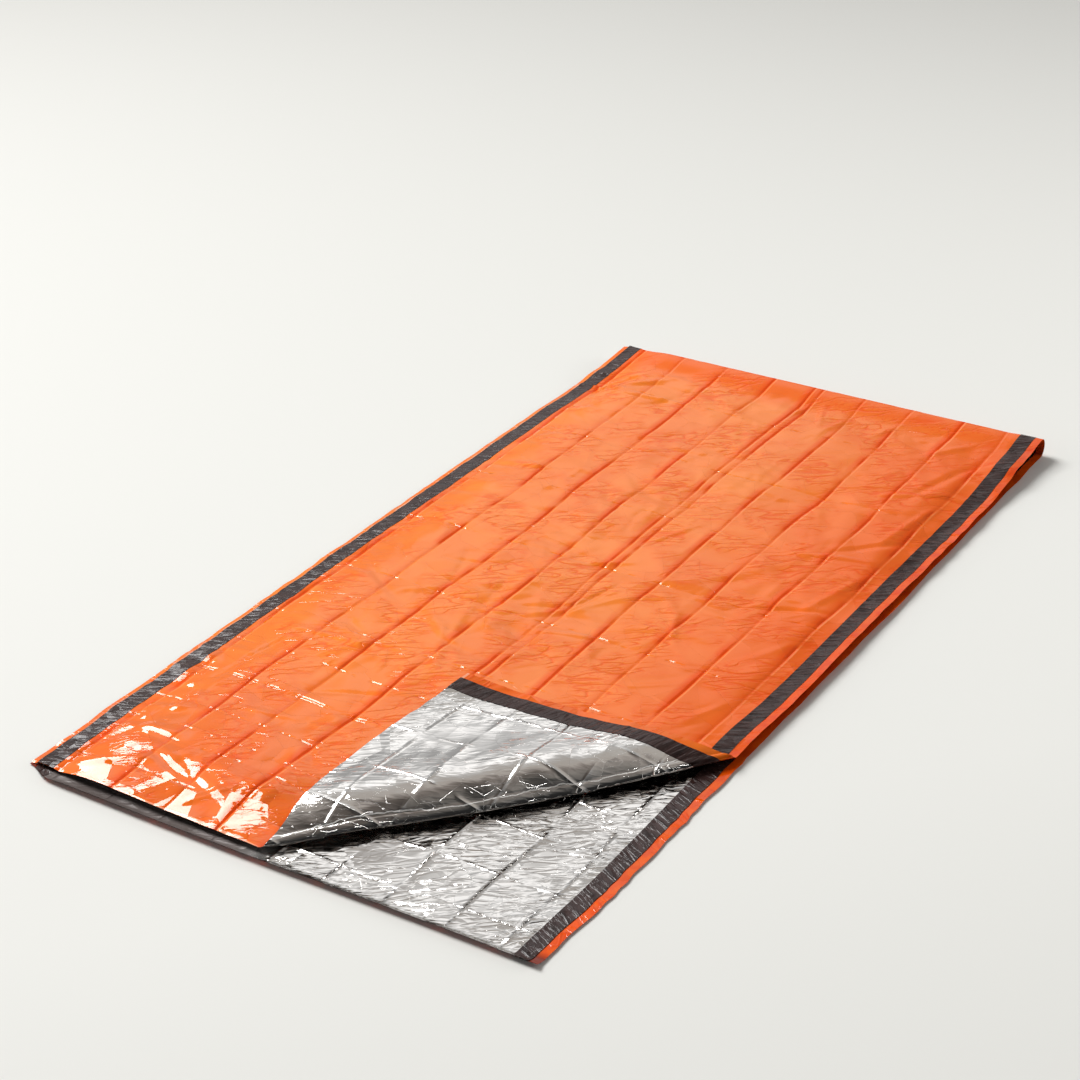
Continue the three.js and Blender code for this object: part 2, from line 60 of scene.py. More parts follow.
def make_camera():
    """A long lens at the front right, looking down at the bag at about 29 degrees."""
    lens = bpy.data.cameras.new("studio_camera")
    lens.lens = CAMERA_LENS
    lens.sensor_width = 36
    lens.clip_start, lens.clip_end = 0.05, 60
    camera = bpy.data.objects.new("studio_camera", lens)
    bpy.context.collection.objects.link(camera)
    aim = CAMERA_LOOKS.to_track_quat("-Z", "Y").to_matrix()
    turn = Matrix.Rotation(CAMERA_ROLL, 3, "Z")
    camera.matrix_world = Matrix.Translation(CAMERA_PLACE) @ (aim @ turn).to_4x4()
    bpy.context.scene.camera = camera


make_camera()

# ---- sizes, in millimetres -------------------------------------------------------------

SHEET_WIDTH = 1000
BAG_LENGTH = 1900
FOOT_BEND = 14
PANEL_LENGTH = BAG_LENGTH - FOOT_BEND
BEND_LENGTH = 42
SHEET_LENGTH = 2 * PANEL_LENGTH + BEND_LENGTH
MARGIN = 16
BAND_WIDTH = 31
SEAL_WIDTH = 9

# How far the solid shell's outer face lies from the surface between film and lining.
SHELL_FACE = 1.15
# Height of that surface in the under panel, between the bands and on their strips.
UNDER_REST = SHELL_FACE
UNDER_AT_BANDS = 2.6
SEALED_GAP = 1.0
SEAM_RISE = 24
OPEN_EDGE_GAP = 8
BAND_GAP = 6.4
MOUTH_SETBACK = 4
MOUTH_REACH = 22
MOUTH_CURL = 9
MOUTH_CURL_LENGTH = 17

FOLD_START = np.array([475.0, 0.0])
FOLD_END = np.array([992.0, 585.0])
FOLD_DIP = 10
FOLD_DIP_WIDTH = 45
FOLD_DIP_ENDS = 0.25
FOLD_BULGE = 9
CORNER_SHEAR = 0.2
CORNER_BOW = 26
CORNER_CURL = 8
REST_LIFT = 10
FOLD_LINE = 27

FOLD_LENGTH = float(np.hypot(*(FOLD_END - FOLD_START)))
FOLD_WAY = (FOLD_END - FOLD_START) / FOLD_LENGTH
FOLD_OUT = np.array([FOLD_WAY[1], -FOLD_WAY[0]])

# How far each thin ply lies from the surface between film and lining.
FILM_OFFSET = 0.85
LINING_OFFSET = 0.4
OUTER_BAND_OFFSET = 1.45
INNER_BAND_OFFSET = -0.25

# The top panel: clear height over the under panel, from the mouth to the foot bend.
TOP_GAP = {
    "at": [
        0, 26, 75, 150, 260, 360, 470, 585, 690, 790,
        900, 1010, 1125, 1240, 1350, 1460, 1580, 1700, 1800, PANEL_LENGTH,
    ],
    "gap": [
        21, 20.5, 20, 19, 18, 17.5, 17.5, 17.5, 18, 18.5,
        19, 20, 21, 22, 23, 24, 25, 26, 28.5, 38,
    ],
}
# The top panel's mouth edge droops, most beside the turned corner.
MOUTH_DROOP = {"at": [0, 30, 60, 250, 400, 470, 1000], "droop": [0, 0.8, 5, 9, 12, 7, 8]}
# Left of the turned corner it swells behind the mouth, counted from the mouth.
MOUTH_SWELL = {"at": [0, 118, 300], "swell": [0, 5, 0]}
# The open side of the under panel: height off the ground, from mouth to foot.
OPEN_SIDE_LIFT = {
    "at": [0, 150, 400, 600, 800, 1000, 1250, 1500, 1700, PANEL_LENGTH],
    "lift": [3, 1.5, 2, 3, 7, 9, 6, 7, 4, 1],
}
# The sealed side: how far the seam lies outside its straight line.
SEALED_SIDE_SWAY = {
    "at": [0, 200, 900, 1500, 1700, 1790, PANEL_LENGTH],
    "out": [10, 14, 18, 19, 15, 6, 1],
}
# The open side: how far each panel lies outside its straight line.
OPEN_SIDE_SWAY = {
    "at": [0, 250, 600, 850, 1200, 1550, PANEL_LENGTH],
    "top": [0, 0, -4, 2, 0, 3, 0],
    "under": [-2, 5, 3, 7, 8, 4, 0],
}
# The turned corner's section square to the fold.
FOLD_SECTION = {
    "run": [0, 3.9, 7.9, 11.8, 29, 50, 70, 92, 116, 146, 186, 232, 290, 420],
    "reach": [0, 3.5, 5, 3.5, -8, -24, -42, -63, -86, -115, -154, -200, -258, -388],
    "lift": [0, 1.5, 5, 8.5, 20, 32, 36, 35, 31, 24, 17, 13, REST_LIFT + 1, REST_LIFT],
}
# Rows of that section which belong to its tight turn and keep their lift everywhere.
SHARP_ROWS = 4

# Lines of the grid in each margin and in each band, and in the film between the bands.
MARGIN_LINES, BAND_LINES, MIDDLE_LINES = 3, 6, 172

# Packing creases that run along the bag: each is a furrow, steep on its sealed side,
# `sharp` deep, and the soft zigzag between them stands `swing` high there.
LONG_CREASES = {
    "at": [60, 165, 274, 388, 484, 504, 605, 713, 828, 925],
    "sharp": [-1.2, -1.5, -2.3, -1.9, -1.3, -1.7, -2.2, -1.8, -2.0, -1.6],
    "swing": [-1.0, 0.8, -1.3, 0.8, -1.5, -1.5, 1.0, -1.2, 1.0, -1.0],
}
# The same for the creases that run across it, counted from the mouth.
CROSS_CREASES = {
    "at": [150, 190, 365, 590, 790, 1015, 1240, 1465, 1700],
    "sharp": [-1.3, 1.2, -1.6, 1.4, -1.2, -1.8, 1.2, -1.5, 1.2],
    "swing": [-1.0, -0.5, -1.1, 0.9, -1.0, -1.3, 0.9, -1.1, 0.9],
}
# Creases on the turned corner: those along the bag, then those across it.
CORNER_LONG_CREASES = {
    "at": [505, 603, 710, 815, 925],
    "sharp": [-0.8, -1.3, 1.5, -1.2, 0.8],
    "swing": [0.3, -0.6, 0.8, -0.6, 0.4],
}
CORNER_CROSS_CREASES = {
    "at": [60, 150, 260, 370, 475],
    "sharp": [0.7, -1.5, 1.5, -1.6, 1.3],
    "swing": [0.2, -0.7, 0.7, -0.8, 0.5],
}
# Creases on the under panel: the film rests on the ground between them.
UNDER_LONG_CREASES = {
    "at": [510, 605, 655, 713, 770, 828, 880, 925],
    "sharp": [0.6, 1.4, 0.0, 1.7, 0.0, 1.5, 0.0, 1.2],
    "swing": [0.2, 1.1, 0.0, 1.4, 0.0, 1.2, 0.0, 0.9],
}
UNDER_CROSS_CREASES = {
    "at": [70, 150, 235, 310, 390, 470],
    "sharp": [0.0, 1.2, 0.0, 1.3, 0.0, 1.0],
    "swing": [0.0, 0.8, 0.0, 1.0, 0.0, 0.8],
}

# Fields of small straight crumples: seed, count, area, then the least and most height,
# length and half width, and the middle and spread of their turns.
PANEL_AREA = ([0, 0], [1000, 1880])
WIDE_CRUMPLES = (5, 400, PANEL_AREA, (0.3, 1.7), (80, 280), (10, 30), (0.5, 1.0))
SMALL_CRUMPLES = (8, 420, PANEL_AREA, (0.25, 1.0), (30, 110), (4, 9), (0.2, 1.2))
CORNER_AREA = ([480, 0], [1000, 590])
CORNER_CRUMPLES = (21, 170, CORNER_AREA, (0.2, 1.0), (40, 160), (7, 24), (0.0, 1.6))
UNDER_AREA = ([330, 0], [985, 600])
UNDER_CRUMPLES = (33, 230, UNDER_AREA, (0.15, 0.8), (50, 190), (8, 22), (0.3, 1.2))
MOUTH_AREA = ([60, 10], [520, 46])
MOUTH_CRUMPLES = (34, 60, MOUTH_AREA, (0.3, 1.0), (50, 160), (7, 15), (0.0, 0.2))

# Folds of the top panel, listed one by one: middle across and back, turn in radians from
# straight across, length, half width and height.
TOP_FOLDS = [
    (70, 1702, 0.05, 150, 7, 3.2),
    (85, 1725, 0.95, 130, 12, -4.0),
    (190, 1694, 0.08, 240, 8, 2.4),
    (150, 1760, 0.75, 170, 14, 2.6),
    (85, 1660, 1.35, 200, 12, 1.6),
    (190, 1800, -0.15, 180, 12, 1.4),
    (330, 1790, 0.35, 170, 10, -1.3),
    (500, 1800, 1.2, 120, 9, 1.6),
    (545, 1790, 1.9, 110, 9, 1.5),
    (700, 1795, 1.1, 130, 11, 1.5),
    (850, 1770, 0.9, 170, 14, 2.0),
    (890, 1650, 1.25, 260, 14, -2.4),
    (860, 1560, 0.5, 150, 12, 1.8),
    (905, 1450, 1.4, 240, 12, 2.0),
    (880, 1330, 0.8, 180, 14, -2.2),
    (840, 1260, 0.3, 180, 12, 1.7),
    (900, 1150, 1.3, 220, 12, 1.8),
    (860, 1050, 0.4, 170, 11, -1.8),
    (890, 900, 1.1, 200, 13, 2.2),
    (830, 800, 0.2, 160, 10, -1.6),
    (900, 700, 1.2, 170, 12, 2.0),
    (760, 700, 0.6, 150, 10, 1.5),
    (650, 640, 0.5, 170, 9, -1.5),
    (560, 780, 0.25, 190, 10, 1.5),
    (520, 900, 1.3, 200, 9, -1.6),
    (470, 1030, 0.5, 150, 10, 1.7),
    (530, 1180, 1.1, 180, 9, 1.5),
    (120, 60, 0.5, 150, 14, 2.0),
    (75, 120, 1.2, 150, 10, -1.8),
    (115, 160, 0.2, 150, 22, 2.6),
    (95, 232, 0.35, 120, 18, 2.2),
    (210, 90, -0.3, 140, 12, -1.6),
    (320, 60, 0.9, 110, 10, 1.7),
    (95, 250, 1.45, 220, 9, -2.0),
    (110, 420, 1.4, 260, 9, -1.8),
    (240, 300, 0.2, 150, 9, 1.3),
    (330, 420, 0.4, 170, 9, -1.3),
    (180, 560, 0.1, 200, 9, 1.4),
]

# ---- small maths -----------------------------------------------------------------------


def ramp(value, low, high):
    """Eased step: 0 below low, 1 above high, 3tt - 2ttt between them."""
    share = np.clip((value - low) / (high - low), 0, 1)
    return share * share * (3 - 2 * share)


def hump(place, middle, width):
    """A bell: exp of minus the square of the distance from middle over width."""
    return np.exp(-(((place - middle) / width) ** 2))


def straight(table, column, place):
    """Straight-line reading of a table's column at each place."""
    return np.interp(place, table["at"], table[column])


def eased(table, column, place):
    """Reading of a table's column with an eased step from each row to the next."""
    at, values = np.array(table["at"], float), np.array(table[column], float)
    inside = np.clip(place, at[0], at[-1])
    row = np.clip(np.searchsorted(at, inside), 1, len(at) - 1)
    share = ramp(inside, at[row - 1], at[row])
    return values[row - 1] + (values[row] - values[row - 1]) * share


def rounded(at, values, place):
    """Smooth reading of a column: a cubic from each row to the next, whose slope at a
    row is that of its neighbours."""
    at, values = np.array(at, float), np.array(values, float)
    slope = np.gradient(values, at)
    row = np.clip(np.searchsorted(at, place), 1, len(at) - 1)
    step = at[row] - at[row - 1]
    share = np.clip((place - at[row - 1]) / step, 0, 1)
    rest = 1 - share
    start = rest**2 * ((1 + 2 * share) * values[row - 1] + share * step * slope[row - 1])
    end = share**2 * ((1 + 2 * rest) * values[row] - rest * step * slope[row])
    return start + end


# ---- the two panels, as laid -----------------------------------------------------------


def side_sway(across, along, panel):
    """Sideways shift: the tables of sways eased in towards the sealed and the open side,
    a slow sine wander between, and the under panel's ragged open edge as two sines."""
    sealed = -straight(SEALED_SIDE_SWAY, "out", along) * (1 - ramp(across, 0, 160))
    open_side = eased(OPEN_SIDE_SWAY, panel, along) * ramp(across, 760, 1000)
    wander = 2.5 * np.sin(along / 190 + across / 120) * ramp(across, 0, 90)
    calm = wander * (1 - ramp(across, 900, 1000))
    coarse = np.sin(along / 21 + 1.8 * np.sin(along / 58))
    fine = np.sin(along / 9 + 2 * np.sin(along / 33))
    ragged = (coarse + 0.8 * fine) * ramp(across, 960, 1000) * ramp(along, 10, 40)
    return sealed + open_side + calm + 1.2 * ragged * (panel == "under")


def under_height(across, along):
    """Height of the under panel: a rest height, raised at the band strips, lifted along
    the open side by its table, curled up at the mouth by a square law, and brought up
    to the foot bend along the seam."""
    strip = np.maximum(1 - ramp(across, MARGIN + BAND_WIDTH, 60), ramp(across, 925, 953))
    side = straight(OPEN_SIDE_LIFT, "lift", along) * ramp(across, 930, 1010) ** 1.5
    curled = np.maximum(0, 1 - along / MOUTH_CURL_LENGTH) ** 2
    curl = MOUTH_CURL * curled * ramp(across, 5, 90) * (1 - 0.5 * ramp(across, 900, 1000))
    seam = SEAM_RISE * np.clip((along - 1700) / 186, 0, 1) * (1 - ramp(across, 0, 130))
    return UNDER_REST + (UNDER_AT_BANDS - UNDER_REST) * strip + side + curl + seam


def panel_gap(across, along):
    """Height between the panels: almost nought at the seal, the bands' own height beside it,
    then eased up to the table's gap, and narrower again at the open side."""
    full = eased(TOP_GAP, "gap", along)
    shut = SEALED_GAP * (0.3 + 0.7 * ramp(across, 0, SEAL_WIDTH))
    shut = shut + (BAND_GAP - SEALED_GAP) * ramp(across, SEAL_WIDTH, MARGIN)
    opened = shut + (full - shut) * ramp(across, MARGIN - 4, 130)
    along_side = 1 - ramp(along, 1560, 1800)
    narrowed = opened * (1 - 0.3 * ramp(across, 880, 1000) * along_side * (across > 500))
    closing = ramp(across, 900, 990) * along_side * ramp(along, 630, 780)
    return narrowed + (OPEN_EDGE_GAP - narrowed) * closing


def end_of_panels(across):
    """Where the foot bend starts: its depth shrinks with the gap towards the seal."""
    half_gap = panel_gap(across, np.full_like(across, PANEL_LENGTH)) / 2
    return BAG_LENGTH - np.minimum(FOOT_BEND, half_gap)


def under_place(across, along):
    """The under panel: across plus its sway, along its length, at its own height. Its
    mouth edge bows forward, most near the sealed side."""
    reach = MOUTH_REACH * ramp(across, 0, 60) * (1 - 0.55 * ramp(across, 250, 1000))
    x = across + side_sway(across, along, "under")
    y = along * end_of_panels(across) / PANEL_LENGTH - reach * (1 - ramp(along, 0, 260))
    return np.stack([x, y, under_height(across, along)], -1)


def top_place(across, back):
    """The top panel: the same, set back at the mouth, raised by the gap, drooping at its
    mouth edge and swelling behind it left of the turned corner."""
    under = under_height(across, np.maximum(back, MOUTH_CURL_LENGTH))
    setback = MOUTH_SETBACK * (1 - ramp(back, 0, 500))
    y = back * end_of_panels(across) / PANEL_LENGTH + setback
    droop = straight(MOUTH_DROOP, "droop", across) * (1 - ramp(back, 0, 130))
    left = ramp(across, 40, 120) * (1 - ramp(across, 380, 465))
    swell = straight(MOUTH_SWELL, "swell", back) * left
    z = under + panel_gap(across, back) - droop + swell
    return np.stack([across + side_sway(across, back, "top"), y, z], -1)


def bend_place(across, angle):
    """The foot bend: half an ellipse from the under panel's end to the top panel's."""
    foot = np.full_like(across, PANEL_LENGTH)
    low, high = under_place(across, foot), top_place(across, foot)
    share = ((1 - np.cos(angle)) / 2)[..., None]
    place = low + (high - low) * share
    place[..., 1] += (BAG_LENGTH - low[..., 1]) * np.sin(angle)
    return place


# ---- the turned corner -----------------------------------------------------------------


def fold_place(across, back):
    """Way along the fold line, and distance outside it: two dot products."""
    x, y = across - FOLD_START[0], back - FOLD_START[1]
    return x * FOLD_WAY[0] + y * FOLD_WAY[1], x * FOLD_OUT[0] + y * FOLD_OUT[1]


def fold_crown(way):
    """Share of the way along the fold, as a sine that is nought at both ends."""
    return np.sin(np.pi * np.clip(way / FOLD_LENGTH, 0, 1))


def sunk_top(across, back):
    """The top panel, sunk by a bell beside the fold line and bowed out with the fold."""
    way, out = fold_place(across, back)
    place = top_place(across, back)
    ends = 1 - (1 - FOLD_DIP_ENDS) * ramp(way, 0.7 * FOLD_LENGTH, FOLD_LENGTH)
    dip = np.where(out < 0, hump(out, 0, FOLD_DIP_WIDTH), 1)
    place[..., 2] -= FOLD_DIP * ramp(way, -60, 60) * ends * dip
    near = FOLD_BULGE * fold_crown(way) * ramp(out, -200, 0)
    place[..., 0] += FOLD_OUT[0] * near
    place[..., 1] += FOLD_OUT[1] * near
    return place


def fold_lift(out, swell, rest):
    """Height of the section: table rows past the tight turn shrink towards rest."""
    run, lift = np.array(FOLD_SECTION["run"]), np.array(FOLD_SECTION["lift"])
    tight = np.arange(len(run)) < SHARP_ROWS
    kept = rounded(run, np.where(tight, lift, 0), out)
    shown = rounded(run, np.where(tight, 0, lift - REST_LIFT), out)
    rests = rounded(run, np.where(tight, 0, 1), out)
    return kept + shown * swell + rests * rest


def turned_place(across, back):
    """Past the fold line: the place on the top panel under the section's reach, raised
    by the section's lift, with its mouth edge bowed and its tip curled up."""
    way, out = fold_place(across, back)
    swell = 0.25 + 0.75 * np.sin(np.pi * np.clip(way / FOLD_LENGTH, 0.02, 0.98))
    reach = rounded(FOLD_SECTION["run"], FOLD_SECTION["reach"], out)
    rest = REST_LIFT + CORNER_CURL * ramp(out, 300, 400)
    moved = way + CORNER_SHEAR * out
    behind, beyond = np.minimum(reach, 0), np.maximum(reach, 0)
    x = FOLD_START[0] + FOLD_WAY[0] * moved + FOLD_OUT[0] * behind
    y = FOLD_START[1] + FOLD_WAY[1] * moved + FOLD_OUT[1] * behind
    place = sunk_top(x, y)
    place[..., 0] += FOLD_OUT[0] * beyond
    place[..., 1] += FOLD_OUT[1] * beyond
    bow = CORNER_BOW * np.sin(np.pi * np.clip(out / 390, 0, 1)) * (1 - ramp(back, 0, 260))
    place[..., 0] -= bow
    place[..., 2] += fold_lift(out, swell, rest)
    return place


# ---- the sheet as a whole --------------------------------------------------------------


def sheet_place(across, along):
    """Chooses under panel, foot bend, top panel or turned corner for each point."""
    back = SHEET_LENGTH - along
    out = fold_place(across, back)[1]
    angle = np.pi * np.clip((along - PANEL_LENGTH) / BEND_LENGTH, 0, 1)
    place = under_place(across, along)
    bend = (along > PANEL_LENGTH) & (along < PANEL_LENGTH + BEND_LENGTH)
    top = (along >= PANEL_LENGTH + BEND_LENGTH) & (out <= 0)
    turned = (along >= PANEL_LENGTH + BEND_LENGTH) & (out > 0)
    place[bend] = bend_place(across[bend], angle[bend])
    place[top] = sunk_top(across[top], back[top])
    place[turned] = turned_place(across[turned], back[turned])
    return place


def outward(across, along):
    """Unit direction to the film's outer face: the cross product of the sheet's two
    slopes, each taken over one millimetre."""
    step = 0.5
    wide = sheet_place(across + step, along) - sheet_place(across - step, along)
    long = sheet_place(across, along + step) - sheet_place(across, along - step)
    normal = np.cross(long, wide)
    return normal / np.linalg.norm(normal, axis=-1, keepdims=True)


# ---- creases and crumples --------------------------------------------------------------


def wandered(across, back):
    """The sheet's two directions bent by slow sines, so that no crease is straight."""
    shift = 2.2 * np.sin(back / 83 + across / 61) + 1.3 * np.sin(back / 37 + across / 97 + 2)
    slide = 3.0 * np.sin(across / 91 + back / 210 + 1) + 1.6 * np.sin(across / 33 + back / 130)
    return across + shift, back + slide


def crease_height(table, place, run, before, beyond):
    """Sum of cusps, each its `sharp` times exp(-distance/width) and a slow sine along
    its run, and the soft zigzag between them. The width differs before and beyond."""
    at = [-60, *table["at"], table["at"][-1] + 75]
    height = np.interp(place, at, [0, *table["swing"], 0])
    for index, (middle, sharp) in enumerate(zip(table["at"], table["sharp"])):
        strength = sharp * (0.68 + 0.32 * np.sin(run / 140 + 2.3 * index))
        apart = place - middle
        fading = np.where(apart < 0, apart / before, -apart / beyond)
        height = height + strength * np.exp(fading)
    return height


def add_fold(height, across, back, fold, bow):
    """Adds one straight fold to the heights: a tent across its line, one minus distance
    over half width, faded out with a square law towards both ends of its length. The
    line itself is bowed by a square law."""
    x, y, turn, long, wide, high = fold
    u, v = across - x, back - y
    near = (np.abs(u) < long) & (np.abs(v) < long)
    u, v = u[near], v[near]
    ahead = u * math.cos(turn) + v * math.sin(turn)
    aside = v * math.cos(turn) - u * math.sin(turn) + bow * ahead**2
    tent = np.maximum(0, 1 - np.abs(aside) / wide)
    height[near] += high * tent * np.maximum(0, 1 - (2 * ahead / long) ** 2)


def crumples(across, back, seed, count, area, heights, lengths, widths, lean):
    """Sum of count small folds drawn at random within the area, up or down, each more
    bowed the higher it is."""
    random = np.random.default_rng(seed)
    height = np.zeros_like(across)
    centres = random.uniform(area[0], area[1], (count, 2))
    turns = random.normal(lean[0], lean[1], count)
    highs = random.uniform(*heights, count) * random.choice([-1, 1], count)
    longs = random.uniform(*lengths, count)
    wides = random.uniform(*widths, count)
    for fold in zip(*centres.T, turns, longs, wides, highs):
        add_fold(height, across, back, fold, 0.0015 * fold[-1])
    return height


def placed_folds(across, back, table):
    """Sum of the folds listed one by one."""
    height = np.zeros_like(across)
    for fold in table:
        add_fold(height, across, back, fold, 0.0002)
    return height


def billows(across, back):
    """Soft uneven swelling of the film: a product of slow sines bent by each other."""
    bend = 1.4 * np.sin(across / 71 + 1) + 1.1 * np.sin(back / 93)
    low = np.sin(across / 26 + bend) * np.sin(back / 34 + 0.8 * bend)
    slanting = np.sin((across + 0.6 * back) / 19 + 1.6 * bend) * np.sin(back / 47 + bend)
    return 0.6 * low + 0.5 * slanting


def edge_waves(across, place):
    """Small waves of the sheet's two edges: a sine of a bent place, nought 70 mm in."""
    edge = 1 - ramp(np.minimum(across, SHEET_WIDTH - across), 0, 70)
    side = np.where(across > SHEET_WIDTH / 2, 1.0, 0.5)
    waves = np.sin(place / 13 + 2.2 * np.sin(place / 57)) + 0.7 * np.sin(place / 31 + 1)
    return 1.1 * side * edge * waves


def top_relief(across, back):
    """Creases and crumples of the top panel, fading into those of the turned corner,
    with a jagged ridge just past the fold line and the mouth edge bent down."""
    x, y = wandered(across, back)
    out = fold_place(across, back)[1]
    uneven = 0.7 + 0.3 * np.sin(back / 130 + across / 75)
    calm_foot = ramp(PANEL_LENGTH - back, 20, 110)
    inside = ramp(across, MARGIN + BAND_WIDTH, 90) * (1 - ramp(across, 900, 953))
    clear = ramp(across, 30, 55) * (1 - ramp(across, 945, 965))
    creases = 0.65 * clear * crease_height(LONG_CREASES, x, y, 8, 16)
    creases = creases + inside * crease_height(CROSS_CREASES, y, x, 7, 7)
    wide = crumples(across, back, *WIDE_CRUMPLES)
    small = crumples(across, back, *SMALL_CRUMPLES)
    placed = 1.5 * placed_folds(across, back, TOP_FOLDS)
    panel = creases * uneven + wide + small + placed + 0.9 * billows(across, back)
    quiet = 1 - 0.65 * ramp(out, -420, -330) * ramp(across, 400, 470)
    on_panel = (out <= 0) * quiet * (1 - ramp(out, -60, -10)) * calm_foot
    corner = crease_height(CORNER_LONG_CREASES, x, y, 6, 12)
    corner = corner + crease_height(CORNER_CROSS_CREASES, y, x, 6, 6)
    turned = (corner + crumples(across, back, *CORNER_CRUMPLES)) * ramp(out, 14, 45)
    jag = np.sin(across / 19 + 2 * np.sin(across / 47)) + 0.7 * np.sin(across / 8.5 + 1)
    apart = np.abs(out - FOLD_LINE - 1.2 * jag)
    ridge = (out > 0) * np.maximum(0, 1 - apart / 3.2) * ramp(back, 5, 40)
    rim = 0.8 * np.maximum(0, 1 - back / 6) * (out < 0)
    return (panel + edge_waves(across, back)) * on_panel + turned + ridge - rim


def under_relief(across, along):
    """Creases and crumples of the under panel, raised from the ground where it isn't
    hidden, with a ruffled strip inside the mouth."""
    x, y = wandered(across, along)
    shown = (1 - ramp(along, 430, 590)) * ramp(along, 0, 9)
    right = ramp(across, 480, 600)
    long = 0.6 * crease_height(UNDER_LONG_CREASES, x, y, 4, 7) * (1 - ramp(across, 940, 953))
    cross = 0.35 * crease_height(UNDER_CROSS_CREASES, y, x, 4, 4) * (1 - ramp(across, 925, 953))
    foil = crumples(across, along, *UNDER_CRUMPLES)
    mouth = np.abs(crumples(across, along, *MOUTH_CRUMPLES)) * ramp(across, 47, 70)
    return np.maximum((long + cross) * right + foil + mouth, -0.1) * shown


def relief(across, along):
    """Relief of the whole sheet, nought on the foot bend."""
    back = SHEET_LENGTH - along
    under = along <= PANEL_LENGTH
    top = along >= PANEL_LENGTH + BEND_LENGTH
    height = np.zeros_like(across)
    height[under] = -under_relief(across[under], along[under])
    height[top] = top_relief(across[top], back[top])
    return height


# ---- the grid --------------------------------------------------------------------------


def columns_across():
    """Lines across the sheet: even in each margin, in each band and between the bands."""
    left, right = MARGIN + BAND_WIDTH, SHEET_WIDTH - MARGIN - BAND_WIDTH
    return np.concatenate([
        np.linspace(0, MARGIN, MARGIN_LINES + 1)[:-1],
        np.linspace(MARGIN, left, BAND_LINES + 1)[:-1],
        np.linspace(left, right, MIDDLE_LINES + 1)[:-1],
        np.linspace(right, SHEET_WIDTH - MARGIN, BAND_LINES + 1)[:-1],
        np.linspace(SHEET_WIDTH - MARGIN, SHEET_WIDTH, MARGIN_LINES + 1),
    ])


def sheet_grid():
    """Across and along of every grid point. Rows go up the under panel, close together
    in its open front and wider where it is hidden, round the bend, and back down the top
    panel to the mouth or the fold line, then on past the fold in rows parallel to it,
    held at the mouth edge once they reach it."""
    across = columns_across()
    shown, hidden = np.linspace(0, 620, 100)[:-1], np.linspace(620, PANEL_LENGTH, 22)
    bend = PANEL_LENGTH + BEND_LENGTH * np.arange(1, 10) / 10
    start = np.maximum(0, (across - FOLD_START[0]) * FOLD_WAY[1] / FOLD_WAY[0])
    share = np.linspace(1, 0, 341)[:, None] ** 1.15
    top = start + (PANEL_LENGTH - start) * share
    tight = np.linspace(0, FOLD_SECTION["run"][SHARP_ROWS - 1], 10)[1:]
    out = np.concatenate([tight, np.linspace(13, 27, 12), np.linspace(31, 397, 96)])[:, None]
    turned = np.maximum(0, start - out / FOLD_WAY[0])
    fixed = np.concatenate([shown, hidden, bend])[:, None] + np.zeros_like(across)
    along = np.concatenate([fixed, SHEET_LENGTH - top, SHEET_LENGTH - turned])
    return np.broadcast_to(across, along.shape).copy(), along


def ply_shape(columns, offset):
    """Vertices and faces of one thin ply between two grid columns: every grid point
    moved along the outward direction by its relief and offset, which is pinched at the
    seal. Rows that are held at the mouth edge share one vertex a column, so their empty
    faces drop out."""
    first, last = columns
    keep = slice(first, last + 1)
    across, along = GRID_ACROSS[:, keep], GRID_ALONG[:, keep]
    pinched = 0.35 + 0.65 * ramp(across, 0, SEAL_WIDTH) if first == 0 else 1
    raised = GRID_RELIEF[:, keep] + offset * pinched
    points = GRID_PLACE[:, keep] + GRID_NORMAL[:, keep] * raised[..., None]
    rows, wide = across.shape
    ended = np.argmax(along >= SHEET_LENGTH - 1e-6, axis=0)
    row = np.minimum(np.arange(rows)[:, None], ended)
    number = row * wide + np.arange(wide)
    corners = [number[:-1, :-1], number[1:, :-1], number[1:, 1:], number[:-1, 1:]]
    faces = np.stack(corners, -1).reshape(-1, 4)
    return points.reshape(-1, 3), faces, across.reshape(-1), along.reshape(-1)


def cleaned_faces(faces):
    """Faces as lists: a four-cornered one with a repeated corner becomes a triangle, and
    one with two repeated corners is left out."""
    repeats = faces == np.roll(faces, -1, axis=1)
    whole = faces[repeats.sum(1) == 0].tolist()
    single = repeats.sum(1) == 1
    three = faces[single][~repeats[single]].reshape(-1, 3).tolist()
    return whole + three


def make_ply(name, columns, offset, material):
    """One thin ply as a mesh, with the sheet's two directions in metres as its UV map,
    bent as the creases are, and how crinkled it is as an attribute."""
    points, faces, across, along = ply_shape(columns, offset)
    lists = cleaned_faces(faces)
    used, places = np.unique(np.concatenate(lists), return_inverse=True)
    ends = np.cumsum([len(face) for face in lists])[:-1]
    mesh = bpy.data.meshes.new(name)
    metres = (points[used] + SHIFT) / 1000
    mesh.from_pydata(metres, [], [face.tolist() for face in np.split(places, ends)])
    across, along = across[used], along[used]
    x, y = wandered(across, np.minimum(along, SHEET_LENGTH - along))
    y = np.where(along < PANEL_LENGTH, SHEET_LENGTH - y, y)
    corner = np.zeros(len(mesh.loops), dtype=np.int32)
    mesh.loops.foreach_get("vertex_index", corner)
    uv = mesh.uv_layers.new(name="sheet")
    uv.data.foreach_set("uv", (np.stack([x, y], -1)[corner] / 1000).astype(np.float32).ravel())
    crinkled = mesh.attributes.new("rumple", "FLOAT", "POINT")
    crinkled.data.foreach_set("value", rumple(across, along).astype(np.float32))
    mesh.polygons.foreach_set("use_smooth", np.ones(len(mesh.polygons), dtype=bool))
    mesh.materials.append(material)
    mesh.update()
    piece = bpy.data.objects.new(name, mesh)
    bpy.context.collection.objects.link(piece)
    return piece


